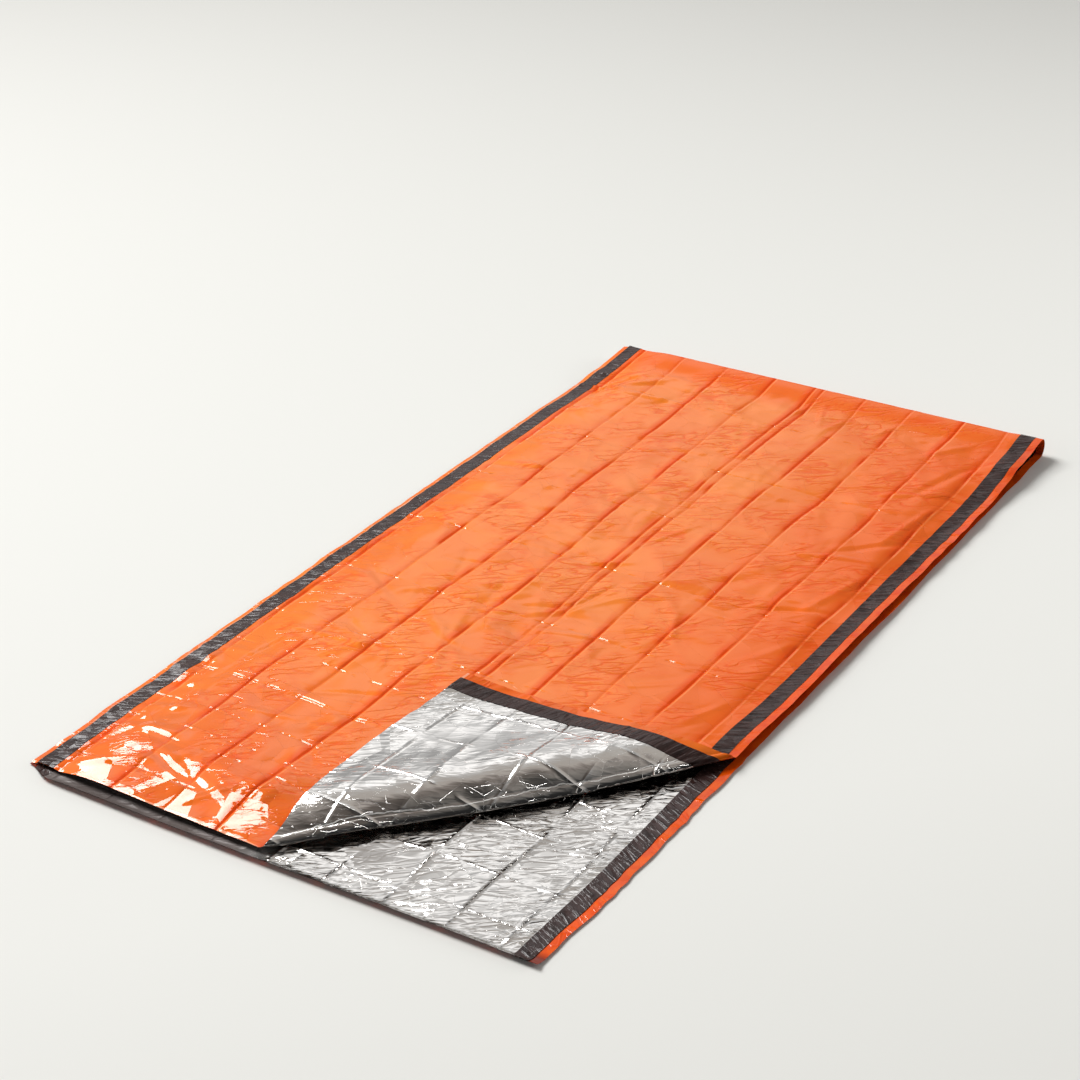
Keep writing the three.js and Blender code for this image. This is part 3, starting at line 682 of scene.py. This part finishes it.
def rumple(across, along):
    """How crinkled the film is: low on the roll of the turned corner, its flat middle
    and the strip before the foot, and high at the mouth, the corner's ends and the
    edges beside the bands."""
    back = SHEET_LENGTH - along
    way, out = fold_place(across, back)
    top = along >= PANEL_LENGTH + BEND_LENGTH
    edge = ramp(across, 940, 965) + 1 - ramp(across, 30, 60)
    side = ramp(across, 860, 940) + 1 - ramp(across, 50, 140)
    ends = 1.1 * (1 - ramp(back, 60, 260)) - 0.3 * ramp(back, 1780, 1840)
    panel = 0.42 + 0.4 * side + 0.5 * edge + ends
    roll = ramp(out, 0, 10) * (1 - ramp(out, 60, 130))
    middle = hump(way, 0.42 * FOLD_LENGTH, 170) * hump(out, 190, 90)
    corner = (1.5 - 1.2 * middle) * (1 - 0.72 * roll)
    mouth = (0.9 - 0.6 * ramp(across, 440, 500)) * (1 - ramp(along, 20, 70))
    under = 0.9 + 0.25 * hump(across, 910, 50) - 0.4 * ramp(across, 955, 975) + mouth
    return np.where(top, np.where(out > 0, corner, panel), under)


GRID_ACROSS, GRID_ALONG = sheet_grid()
GRID_PLACE = sheet_place(GRID_ACROSS, GRID_ALONG)
GRID_NORMAL = outward(GRID_ACROSS, GRID_ALONG)
GRID_RELIEF = relief(GRID_ACROSS, GRID_ALONG)

# The CAD's box is centred on the frame: the shell's open side and foot give the shift.
SHELL_EDGES = np.array(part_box("shell")[1]) * 1000
SHIFT = (SHELL_EDGES - GRID_PLACE.max(axis=(0, 1)) - [0.0, SHELL_FACE, 0.0]) * [1, 1, 0]

# ---- materials -------------------------------------------------------------------------

# Colours are linear red, green and blue. Tables pair a place from 0 to 1 with a colour.
ORANGE_CLOUDS = [(0.3, (0.835, 0.168, 0.003)), (0.7, (0.875, 0.212, 0.006))]
ORANGE_ROUGH = [(0.3, 0.40), (0.7, 0.48)]
# Painted shade: a deeper orange for the film towards the mouth.
FRONT_SHADE_ORANGE = (0.755, 0.118, 0.003)
# Painted shade: a deeper orange for the open side and the foot strip.
SIDE_SHADE_ORANGE = (0.825, 0.112, 0.003)
# Painted shade: a dark red for the open side's rim.
OPEN_RIM_SHADE = (0.66, 0.055, 0.003)
# Painted shade: a dark red brown for the under panel's curled mouth edge.
MOUTH_EDGE_SHADE = (0.20, 0.022, 0.006)
# Painted highlight: a pale line for the top panel's cut mouth edge.
CUT_EDGE_HIGHLIGHT = (0.95, 0.50, 0.32)
# Painted highlight: a pale orange for a line just past each long crease.
CREASE_HIGHLIGHT = (0.95, 0.36, 0.12)
# Painted shade: a redder orange for strips beside the creases and along wrinkles.
CREASE_SHADE_RED = (0.76, 0.055, 0.001)
SILVER_CLOUDS = [(0.3, (0.84, 0.815, 0.79)), (0.7, (0.95, 0.93, 0.905))]
SILVER_ROUGH = [(0.3, 0.05), (0.7, 0.10)]
SILVER_SHADED = (0.11, 0.085, 0.078)
# Painted shade: a dark grey that slightly darkens the whole under panel.
SILVER_UNDER_SHADE = (0.19, 0.17, 0.16)
# Painted highlight: near white for a jagged line along the fold.
SILVER_FOLD_HIGHLIGHT = (1.0, 0.98, 0.95)
# Painted highlight, in part: the tape's black is a little paler on the wrinkles' crests.
TAPE_BLACKS = [(0.3, (0.018, 0.009, 0.008)), (0.7, (0.052, 0.026, 0.023))]
TAPE_ROUGH = [(0.3, 0.14), (0.7, 0.26)]

# Strips of the sheet, in metres: where a tone starts, and where it is full.
OPEN_SIDE, OPEN_RIM = (0.56, 1.02), (0.975, 0.990)
FOOT_STRIP, FRONT_STRIP = (1.78, 1.84), (0.55, 0.1)
MOUTH_EDGE, CUT_EDGE = (0.03, 0.015), 0.0028
MOUTH_SHADE, SEALED_PART = (0.07, 0.03), (0.50, 0.44)
# The turned corner lies within this distance of the mouth and beyond this place across.
CORNER_END, CORNER_SIDE = 0.575, 0.9

# Furrows at the creases: metres ahead of the line and past it, and how hollow.
LONG_DENT, CROSS_DENT, CROSSING_DENT = (0.006, 0.004, 1.1), (0.004, 0.004), (0.018, 0.018)
# The next line: widths of the painted shade beside each long crease, and of the painted highlight
# just past it.
LONG_CREASE_SHADE, PALE_LINE = (0.020, 0.0014, 0.9), (0.0014, 0.0028)
FOIL_LONG_DENT, FOIL_CROSS_DENT = (0.007, 0.006, 2.0), (0.006, 0.006, 2.0)
# How far past a crease its pale line of painted highlight lies, in millimetres.
PALE_SHIFT = 3
# The painted highlight along the fold, a bright line: how far it wanders, and half its width, in
# metres.
LIP_WANDER, LIP_WIDTH = 0.012, 0.0009

# Half the width of a furrow in a crinkling noise whose values run from 0 to 1.
CRINKLE_WIDTH = 0.05


def set_inputs(node, inputs):
    """Joins or sets a node's inputs, by name or number."""
    for key, value in inputs.items():
        if isinstance(value, bpy.types.NodeSocket):
            node.id_data.links.new(value, node.inputs[key])
        else:
            node.inputs[key].default_value = value


def new_material(name):
    """An empty node material, its node tree, and its shader joined to its output."""
    material = bpy.data.materials.new(name)
    material.use_nodes = True
    tree = material.node_tree
    tree.nodes.clear()
    shader = add_node(tree, "BsdfPrincipled")
    add_node(tree, "OutputMaterial", {"Surface": shader.outputs["BSDF"]})
    return material, tree, shader


def add_node(tree, kind, inputs=None, **settings):
    """A node with its settings made and its inputs joined or set, by name or number."""
    node = tree.nodes.new("ShaderNode" + kind)
    for key, value in settings.items():
        setattr(node, key, value)
    set_inputs(node, inputs or {})
    return node


def tree_of(values):
    """The node tree that the first socket among the values is in."""
    return next(value.id_data for value in values if isinstance(value, bpy.types.NodeSocket))


def maths(operation, *values):
    """The result of one Math node."""
    inputs = dict(enumerate(values))
    return add_node(tree_of(values), "Math", inputs, operation=operation).outputs[0]


def product(value, *others):
    """All the values multiplied together, from the first on."""
    for other in others:
        value = maths("MULTIPLY", value, other)
    return value


def scaled(value, factor, added):
    """The value times a factor, and a number or another value added."""
    return maths("MULTIPLY_ADD", value, factor, added)


def larger(first, second):
    """The larger of two values."""
    return maths("MAXIMUM", first, second)


def vectors(operation, *values):
    """The result of one Vector Math node: a number for a dot product, or a vector."""
    inputs = dict(enumerate(values))
    node = add_node(tree_of(values), "VectorMath", inputs, operation=operation)
    return node.outputs["Value" if operation == "DOT_PRODUCT" else "Vector"]


def between(value, low, high, step="LINEAR"):
    """Nought at low and one at high, held beyond them, straight or as an eased step."""
    inputs = {"Value": value, "From Min": low, "From Max": high}
    return add_node(value.id_data, "MapRange", inputs, interpolation_type=step).outputs[0]


def mixed(share, first, second):
    """The first colour, changed by the share towards the second."""
    inputs = {0: share, 6: first, 7: (*second, 1.0)}
    return add_node(share.id_data, "Mix", inputs, data_type="RGBA").outputs[2]


def noise(vector, scale, detail, distortion=0.0):
    """A clouded noise between 0 and 1."""
    inputs = {"Vector": vector, "Scale": scale, "Detail": detail, "Distortion": distortion}
    return add_node(vector.id_data, "TexNoise", inputs).outputs["Fac"]


def stops(value, rows):
    """A colour ramp over value: rows of place and grey or colour."""
    node = add_node(value.id_data, "ValToRGB", {"Fac": value})
    band = node.color_ramp
    while len(band.elements) > 1:
        band.elements.remove(band.elements[-1])
    for index, (place, shade) in enumerate(rows):
        element = band.elements[0] if index == 0 else band.elements.new(place)
        element.position = place
        element.color = (shade, shade, shade, 1) if np.isscalar(shade) else (*shade, 1)
    return node.outputs["Color"]


def sheet_directions(tree):
    """The piece's own UV map, its two directions apart, in metres, and the distance from
    the mouth on either panel. The directions are across, and from the top panel's mouth
    edge round the foot to the under panel's."""
    uv = add_node(tree, "UVMap", uv_map="sheet").outputs["UV"]
    parts = add_node(tree, "SeparateXYZ", {"Vector": uv})
    across, back = parts.outputs["X"], parts.outputs["Y"]
    other = maths("SUBTRACT", SHEET_LENGTH / 1000, back)
    return uv, across, back, maths("MINIMUM", back, other)


def rumpled(height):
    """A height weakened or strengthened by how crinkled the film is there."""
    settings = {"attribute_name": "rumple", "attribute_type": "GEOMETRY"}
    how = add_node(height.id_data, "Attribute", **settings).outputs["Fac"]
    return product(height, how)


def moved_uv(vector, shift, size=(1.0, 1.0), turn=0.0):
    """The sheet's directions shifted, turned, and divided by a size in metres along the
    turn and square to it."""
    inputs = {"Vector": vector, "Location": (*shift, 0.0), "Rotation": (0.0, 0.0, turn)}
    inputs["Scale"] = (*size, 1.0)
    return add_node(vector.id_data, "Mapping", inputs, vector_type="TEXTURE").outputs[0]


def either_way(vector, turned, size, under, corner):
    """The sheet's directions turned one way on the under panel and another on the corner."""
    sides = {0: turned, 4: moved_uv(vector, (0.2, 0.8), size, under)}
    sides[5] = moved_uv(vector, (0.6, 0.3), size, corner)
    return add_node(vector.id_data, "Mix", sides, data_type="VECTOR").outputs[1]


def crinkle(vector, detail):
    """Crumpled film: thin furrows where a warped noise passes its middle value, a little
    to each side of it, and flat between them."""
    apart = maths("SUBTRACT", noise(vector, 1.0, detail, 0.6), 0.5)
    return maths("MINIMUM", maths("ABSOLUTE", apart), CRINKLE_WIDTH)


def facets(vector, scale, width):
    """A net of straight creases: height is the distance from the nearest cell edge, flat
    beyond `width` of a cell."""
    inputs = {"Vector": vector, "Scale": scale}
    cells = add_node(vector.id_data, "TexVoronoi", inputs, feature="DISTANCE_TO_EDGE")
    return maths("MINIMUM", cells.outputs["Distance"], width)


def shards(vector, scale):
    """Flat facets that each lean their own way: the way from a cell's middle, times a
    random lean for that cell. Heights are in metres for a lean of one half."""
    inputs = {"Vector": vector, "Scale": scale}
    cells = add_node(vector.id_data, "TexVoronoi", inputs, feature="F1")
    reach = vectors("SUBTRACT", vector, cells.outputs["Position"])
    lean = vectors("SUBTRACT", cells.outputs["Color"], (0.5, 0.5, 0.5))
    return vectors("DOT_PRODUCT", reach, lean)


def patchy(vector, scale, low, high):
    """Soft patches between nought and one, from a clouded noise."""
    return between(noise(vector, scale, 2.0), low, high, "SMOOTHSTEP")


def furrows(place, lines, before, beyond, sharp=1.0):
    """One in each line, falling to nought at `before` metres ahead of it and `beyond`
    metres past it: straight, or hollow where `sharp` is above one."""
    deepest = 0.0
    for line in lines:
        apart = maths("SUBTRACT", place, line / 1000)
        rising = scaled(apart, 1 / before, 1.0)
        falling = scaled(apart, -1 / beyond, 1.0)
        deepest = larger(deepest, maths("MINIMUM", rising, falling))
    return maths("POWER", deepest, sharp)


def bumped(shader, layers):
    """Bump layers one on another, for the film and its clear skin: each is a height and
    a depth in metres."""
    inputs = {}
    for height, depth in layers:
        inputs = {"Height": height, "Strength": 1.0, "Distance": depth, **inputs}
        inputs = {"Normal": add_node(shader.id_data, "Bump", inputs).outputs["Normal"]}
    set_inputs(shader, {**inputs, "Coat Normal": inputs["Normal"]})


def orange_tone(uv, across, back, from_mouth):
    """The film's plain colour: clouded orange, with painted shade as a deeper orange at the
    front, the open side and the foot, as a redder open rim and as a dark under panel mouth
    edge, and a painted highlight as a pale top panel cut edge. Also the clouds, and how
    deep the side's colour is."""
    clouds = noise(uv, 5.0, 4.0)
    # Painted shade: a deeper orange towards the open side and the foot strip, weaker on the
    # turned corner's margin; the clear skin is weakened there too.
    rightward = between(across, *OPEN_SIDE)
    footward = between(from_mouth, *FOOT_STRIP)
    deeper = larger(rightward, product(footward, 0.7))
    under = maths("GREATER_THAN", back, PANEL_LENGTH / 1000)
    beyond = maths("GREATER_THAN", from_mouth, CORNER_END)
    beside = maths("LESS_THAN", across, CORNER_SIDE)
    unturned = larger(under, larger(beyond, beside))
    deepened = product(deeper, scaled(unturned, 0.55, 0.45))
    # Painted shade: the orange is deepened towards the mouth.
    frontward = product(between(from_mouth, *FRONT_STRIP), 0.75)
    tone = mixed(frontward, stops(clouds, ORANGE_CLOUDS), FRONT_SHADE_ORANGE)
    tone = mixed(deepened, tone, SIDE_SHADE_ORANGE)
    # Painted shade: a patchy dark red along the open side's rim, stronger on the top panel.
    weakest = scaled(under, -0.25, 0.4)
    ruffled = scaled(patchy(uv, 30.0, 0.45, 0.60), 0.5, weakest)
    rim = product(unturned, ruffled, between(across, *OPEN_RIM))
    tone = mixed(rim, tone, OPEN_RIM_SHADE)
    # Painted shade: the under panel's curled mouth edge is darkened.
    front = product(between(from_mouth, *MOUTH_EDGE), under)
    tone = mixed(front, tone, MOUTH_EDGE_SHADE)
    # Painted highlight: a pale line on the top panel's cut mouth edge.
    cut = product(maths("LESS_THAN", back, CUT_EDGE), 0.7)
    return mixed(cut, tone, CUT_EDGE_HIGHLIGHT), clouds, deepened


def orange_film():
    """Glossy orange film: two close oranges clouded together, with painted shade as a redder
    tone beside the packing creases and on small wrinkles, and a painted highlight as a paler
    line just past each crease, with soft gloss under a clear skin, and fine crinkles."""
    material, tree, shader = new_material("orange_film")
    uv, across, back, from_mouth = sheet_directions(tree)
    plain, clouds, deepened = orange_tone(uv, across, back, from_mouth)
    creases = LONG_CREASES["at"]
    uneven = scaled(patchy(uv, 9.0, 0.40, 0.58), 0.65, 0.35)
    # Painted highlight: a paler line just past each long crease, uneven along it.
    past = furrows(across, [line + PALE_SHIFT for line in creases], *PALE_LINE)
    pale_highlight = product(uneven, 0.5, past)
    lumps = patchy(uv, 8.0, 0.42, 0.58)
    wrinkles = crinkle(moved_uv(uv, (0.7, 0.4), (0.085, 0.024), 0.55), 1.5)
    threads = crinkle(moved_uv(uv, (0.2, 0.9), (0.034, 0.012), 0.75), 1.0)
    fine = product(threads, lumps)
    # Painted shade: redder strokes along the small wrinkles' furrows.
    strokes = product(scaled(wrinkles, -11.0, 0.56), lumps)
    thin = product(scaled(fine, -9.0, 0.42), lumps)
    beside = product(furrows(across, creases, *LONG_CREASE_SHADE), uneven)
    # Painted shade: the redder tone beside the creases and on wrinkles, where the clear skin also
    # weakens.
    crease_shade = larger(beside, larger(strokes, thin))
    shiny = scaled(crease_shade, -0.7, 1.0)
    tone = mixed(pale_highlight, plain, CREASE_HIGHLIGHT)
    set_inputs(shader, {
        "Base Color": mixed(crease_shade, tone, CREASE_SHADE_RED),
        "Metallic": 0.12,
        "Roughness": stops(clouds, ORANGE_ROUGH),
        "Specular IOR Level": 0.0,
        "Coat Weight": product(shiny, scaled(deepened, -0.4, 1.0)),
        "Coat Roughness": 0.02,
        "Coat IOR": 1.52,
    })
    long = furrows(across, creases, *LONG_DENT)
    rows = CROSS_CREASES["at"] + CORNER_CROSS_CREASES["at"]
    cross = furrows(from_mouth, rows, *CROSS_DENT)
    broken = patchy(moved_uv(uv, (0.4, 0.2), (1.0, 3.0)), 26.0, 0.45, 0.7)
    crossing = product(cross, furrows(across, creases, *CROSSING_DENT))
    leaning = shards(moved_uv(uv, (0.3, 0.1), turn=0.3), 13.0)
    bumped(shader, [
        (product(long, uneven), -0.0012),
        (larger(product(cross, broken), crossing), -0.0013),
        (rumpled(leaning), 0.15),
        (product(wrinkles, lumps), 0.008),
        (rumpled(fine), 0.002),
    ])
    return material


def silver_film():
    """Metallised lining: a bright mirror with crinkled facets, sharp packing creases and
    faint dull patches, with painted shade darkening the whole under panel a little. Inside
    the mouth it is dull and painted dark as painted shade, and a jagged line along the fold
    of the turned corner is painted bright as a painted highlight."""
    material, tree, shader = new_material("silver_film")
    uv, across, back, from_mouth = sheet_directions(tree)
    turned = maths("LESS_THAN", back, PANEL_LENGTH / 1000)
    under = maths("SUBTRACT", 1.0, turned)
    mouth = between(from_mouth, *MOUTH_SHADE)
    shaded = product(mouth, between(across, *SEALED_PART), under)
    clouds = noise(uv, 9.0, 5.0)
    tone = mixed(shaded, stops(clouds, SILVER_CLOUDS), SILVER_SHADED)
    # Painted shade: the under panel's silver is darkened a little all over.
    tone = mixed(product(under, 0.12), tone, SILVER_UNDER_SHADE)
    # Painted highlight: a near white, dull jagged line just past the fold on the top panel.
    out = vectors("DOT_PRODUCT", uv, (*FOLD_OUT, 0.0))
    line = (float(FOLD_START @ FOLD_OUT) + FOLD_LINE) / 1000
    straight_line = maths("SUBTRACT", out, line + LIP_WANDER / 2)
    jagged = scaled(noise(uv, 45.0, 3.0), LIP_WANDER, straight_line)
    near = maths("LESS_THAN", maths("ABSOLUTE", jagged), LIP_WIDTH)
    fold_highlight = product(near, turned)
    dull = larger(shaded, fold_highlight)
    set_inputs(shader, {
        "Base Color": mixed(fold_highlight, tone, SILVER_FOLD_HIGHLIGHT),
        "Metallic": scaled(dull, -0.85, 1.0),
        "Roughness": scaled(dull, 0.4, stops(clouds, SILVER_ROUGH)),
    })
    long = furrows(across, LONG_CREASES["at"], *FOIL_LONG_DENT)
    cross = furrows(from_mouth, CORNER_CROSS_CREASES["at"], *FOIL_CROSS_DENT)
    creases = larger(long, product(cross, scaled(turned, 0.45, 0.55)))
    streaks = either_way(uv, turned, (0.075, 0.022), -0.55, 1.1)
    threads = either_way(uv, turned, (0.040, 0.014), -0.9, 0.8)
    patches = patchy(uv, 9.0, 0.46, 0.62)
    large = shards(moved_uv(uv, (0.9, 0.2), turn=-0.2), 14.0)
    small = product(shards(streaks, 2.0), patches)
    fine = product(crinkle(threads, 2.0), patches)
    bumped(shader, [
        (product(creases, patchy(uv, 14.0, 0.34, 0.56)), -0.0013),
        (rumpled(large), 0.16),
        (rumpled(small), 0.006),
        (rumpled(facets(streaks, 1.6, 0.22)), 0.0016),
        (rumpled(crinkle(streaks, 1.5)), 0.004),
        (rumpled(fine), 0.0025),
    ])
    return material


def black_tape():
    """Black tape: glossy, with close slanting wrinkles across it, paler on their crests as
    painted highlight.
    """
    material, tree, shader = new_material("black_tape")
    uv = sheet_directions(tree)[0]
    slanting = moved_uv(uv, (0.0, 0.0), (0.040, 0.009), 0.45)
    wrinkle = noise(slanting, 1.0, 3.0, 0.5)
    # Painted highlight, in part: the black is paler where the wrinkle noise is high.
    set_inputs(shader, {
        "Base Color": stops(wrinkle, TAPE_BLACKS),
        "Roughness": stops(wrinkle, TAPE_ROUGH),
        "Specular IOR Level": 0.26,
    })
    bumped(shader, [
        (wrinkle, 0.0034),
        (rumpled(shards(uv, 60.0)), 0.15),
    ])
    return material


# ---- the pieces ------------------------------------------------------------------------

FILM = orange_film()
FOIL = silver_film()
TAPE = black_tape()

# The lines of the grid that each kind of piece lies between, from its first to its last.
LAST = GRID_ACROSS.shape[1] - 1
LEFT_BAND = (MARGIN_LINES, MARGIN_LINES + BAND_LINES)
RIGHT_BAND = (LAST - LEFT_BAND[1], LAST - LEFT_BAND[0])
WHOLE, INNER = (0, LAST), (LEFT_BAND[0], RIGHT_BAND[1])

PIECES = [
    # name, node, slot, columns, offset, material, flat width
    ("bag_film", "shell", "orange_film", WHOLE, FILM_OFFSET, FILM, SHEET_WIDTH),
    ("bag_lining", "lining", "silver_film", INNER, LINING_OFFSET, FOIL, SHEET_WIDTH - 2 * MARGIN),
]
BANDS = [
    ("left_outer_band", "band_outer_left", LEFT_BAND, OUTER_BAND_OFFSET),
    ("right_outer_band", "band_outer_right", RIGHT_BAND, OUTER_BAND_OFFSET),
    ("left_inner_band", "band_inner_left", LEFT_BAND, INNER_BAND_OFFSET),
    ("right_inner_band", "band_inner_right", RIGHT_BAND, INNER_BAND_OFFSET),
]
for name, node, columns, offset in BANDS:
    PIECES.append((name, node, "black_tape", columns, offset, TAPE, BAND_WIDTH))

for name, node, slot, columns, offset, material, width in PIECES:
    piece = make_ply(name, columns, offset, material)
    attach(piece, "root")
    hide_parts(node)

# ---- studio ----------------------------------------------------------------------------

# Tones against height or direction: the floor's painted shade from front to back, the
# ceiling and the bright wall from the horizon to overhead, the wall from the middle to
# the left, and the lit front.
FLOOR_SHADE_TONES = [
    (0.0, (0.805, 0.805, 0.770)),
    (0.12, (0.815, 0.815, 0.780)),
    (0.3, (0.747, 0.747, 0.714)),
    (1.0, (0.452, 0.449, 0.428)),
]
CEILING_TONES = [
    (0.0, 0.14),
    (0.55, 0.19),
    (0.74, (0.46, 0.445, 0.43)),
    (0.84, (0.42, 0.395, 0.37)),
    (0.91, (0.42, 0.39, 0.36)),
    (0.96, (0.30, 0.27, 0.25)),
    (1.0, (0.19, 0.165, 0.147)),
]
WALL_HEIGHTS = [
    (0.0, 0.44), (0.32, 0.50), (0.42, 0.78), (0.50, 1.0),
    (0.58, 0.95), (0.65, 0.27), (0.76, 0.0),
]
WALL_SIDES = [
    (0.14, 0.12), (0.25, 0.30), (0.36, 0.72), (0.44, 0.95),
    (0.52, 1.0), (0.56, 1.0), (0.63, 0.45), (1.0, 0.35),
]
FRONT_TONES = [(0.0, 1.5), (0.35, 1.3), (0.55, 0.0)]


def make_floor():
    """A wide pale floor, its tone eased darker towards the lamp's side at the back as painted
    shade.
    """
    bpy.ops.mesh.primitive_plane_add(size=30, location=(0, 5, 0))
    floor = bpy.context.object
    floor.name = "studio_floor"
    material, tree, shader = new_material("pale_paper")
    place = add_node(tree, "NewGeometry").outputs["Position"]
    distance = vectors("DOT_PRODUCT", place, (-0.77, 0.64, 0.0))
    tone = stops(between(distance, -1.5, 5.0), FLOOR_SHADE_TONES)
    inputs = {"Base Color": tone, "Roughness": 0.8, "Specular IOR Level": 0.1}
    set_inputs(shader, inputs)
    floor.data.materials.append(material)


def make_softbox(name, place, target, size, power):
    """A rectangular area light that faces its target."""
    light = bpy.data.lights.new(name, "AREA")
    light.shape = "RECTANGLE"
    light.size, light.size_y = size
    light.energy = power
    lamp = bpy.data.objects.new(name, light)
    bpy.context.collection.objects.link(lamp)
    aim = (Vector(target) - Vector(place)).to_track_quat("-Z", "Y")
    lamp.matrix_world = Matrix.Translation(Vector(place)) @ aim.to_matrix().to_4x4()


def make_studio_walls():
    """Soft surroundings: a bright wall behind up to about 35 degrees, and a darker room
    overhead and in front."""
    world = bpy.data.worlds.new("studio")
    bpy.context.scene.world = world
    world.use_nodes = True
    tree = world.node_tree
    tree.nodes.clear()
    direction = add_node(tree, "TexCoord").outputs["Generated"]
    parts = add_node(tree, "SeparateXYZ", {"Vector": direction}).outputs
    leftward = product(parts["X"], -1.0)
    behind = between(parts["Y"], -0.3, 0.3)
    rising, aside = stops(parts["Z"], WALL_HEIGHTS), stops(leftward, WALL_SIDES)
    wall = product(rising, aside, behind)
    corner = between(leftward, -0.1, 0.4, "SMOOTHSTEP")
    before = product(corner, maths("SUBTRACT", 1.0, behind))
    lights = scaled(stops(parts["Z"], FRONT_TONES), before, wall)
    ceiling = stops(parts["Z"], CEILING_TONES)
    lit = vectors("MULTIPLY_ADD", ceiling, scaled(behind, 0.88, 0.12), lights)
    background = add_node(tree, "Background", {"Color": lit}).outputs[0]
    add_node(tree, "OutputWorld", {"Surface": background})


make_floor()
make_studio_walls()
make_softbox("key_softbox", (-6.709, 1.223, 6.97), (-0.859, -1.367, -0.33), (5.6, 4.7), 1120)
make_softbox("fill_softbox", (3.8, 3.3, 1.5), (0.5, 0.3, 0.0), (2.6, 1.4), 70)
bpy.context.scene.view_settings.view_transform = "Standard"
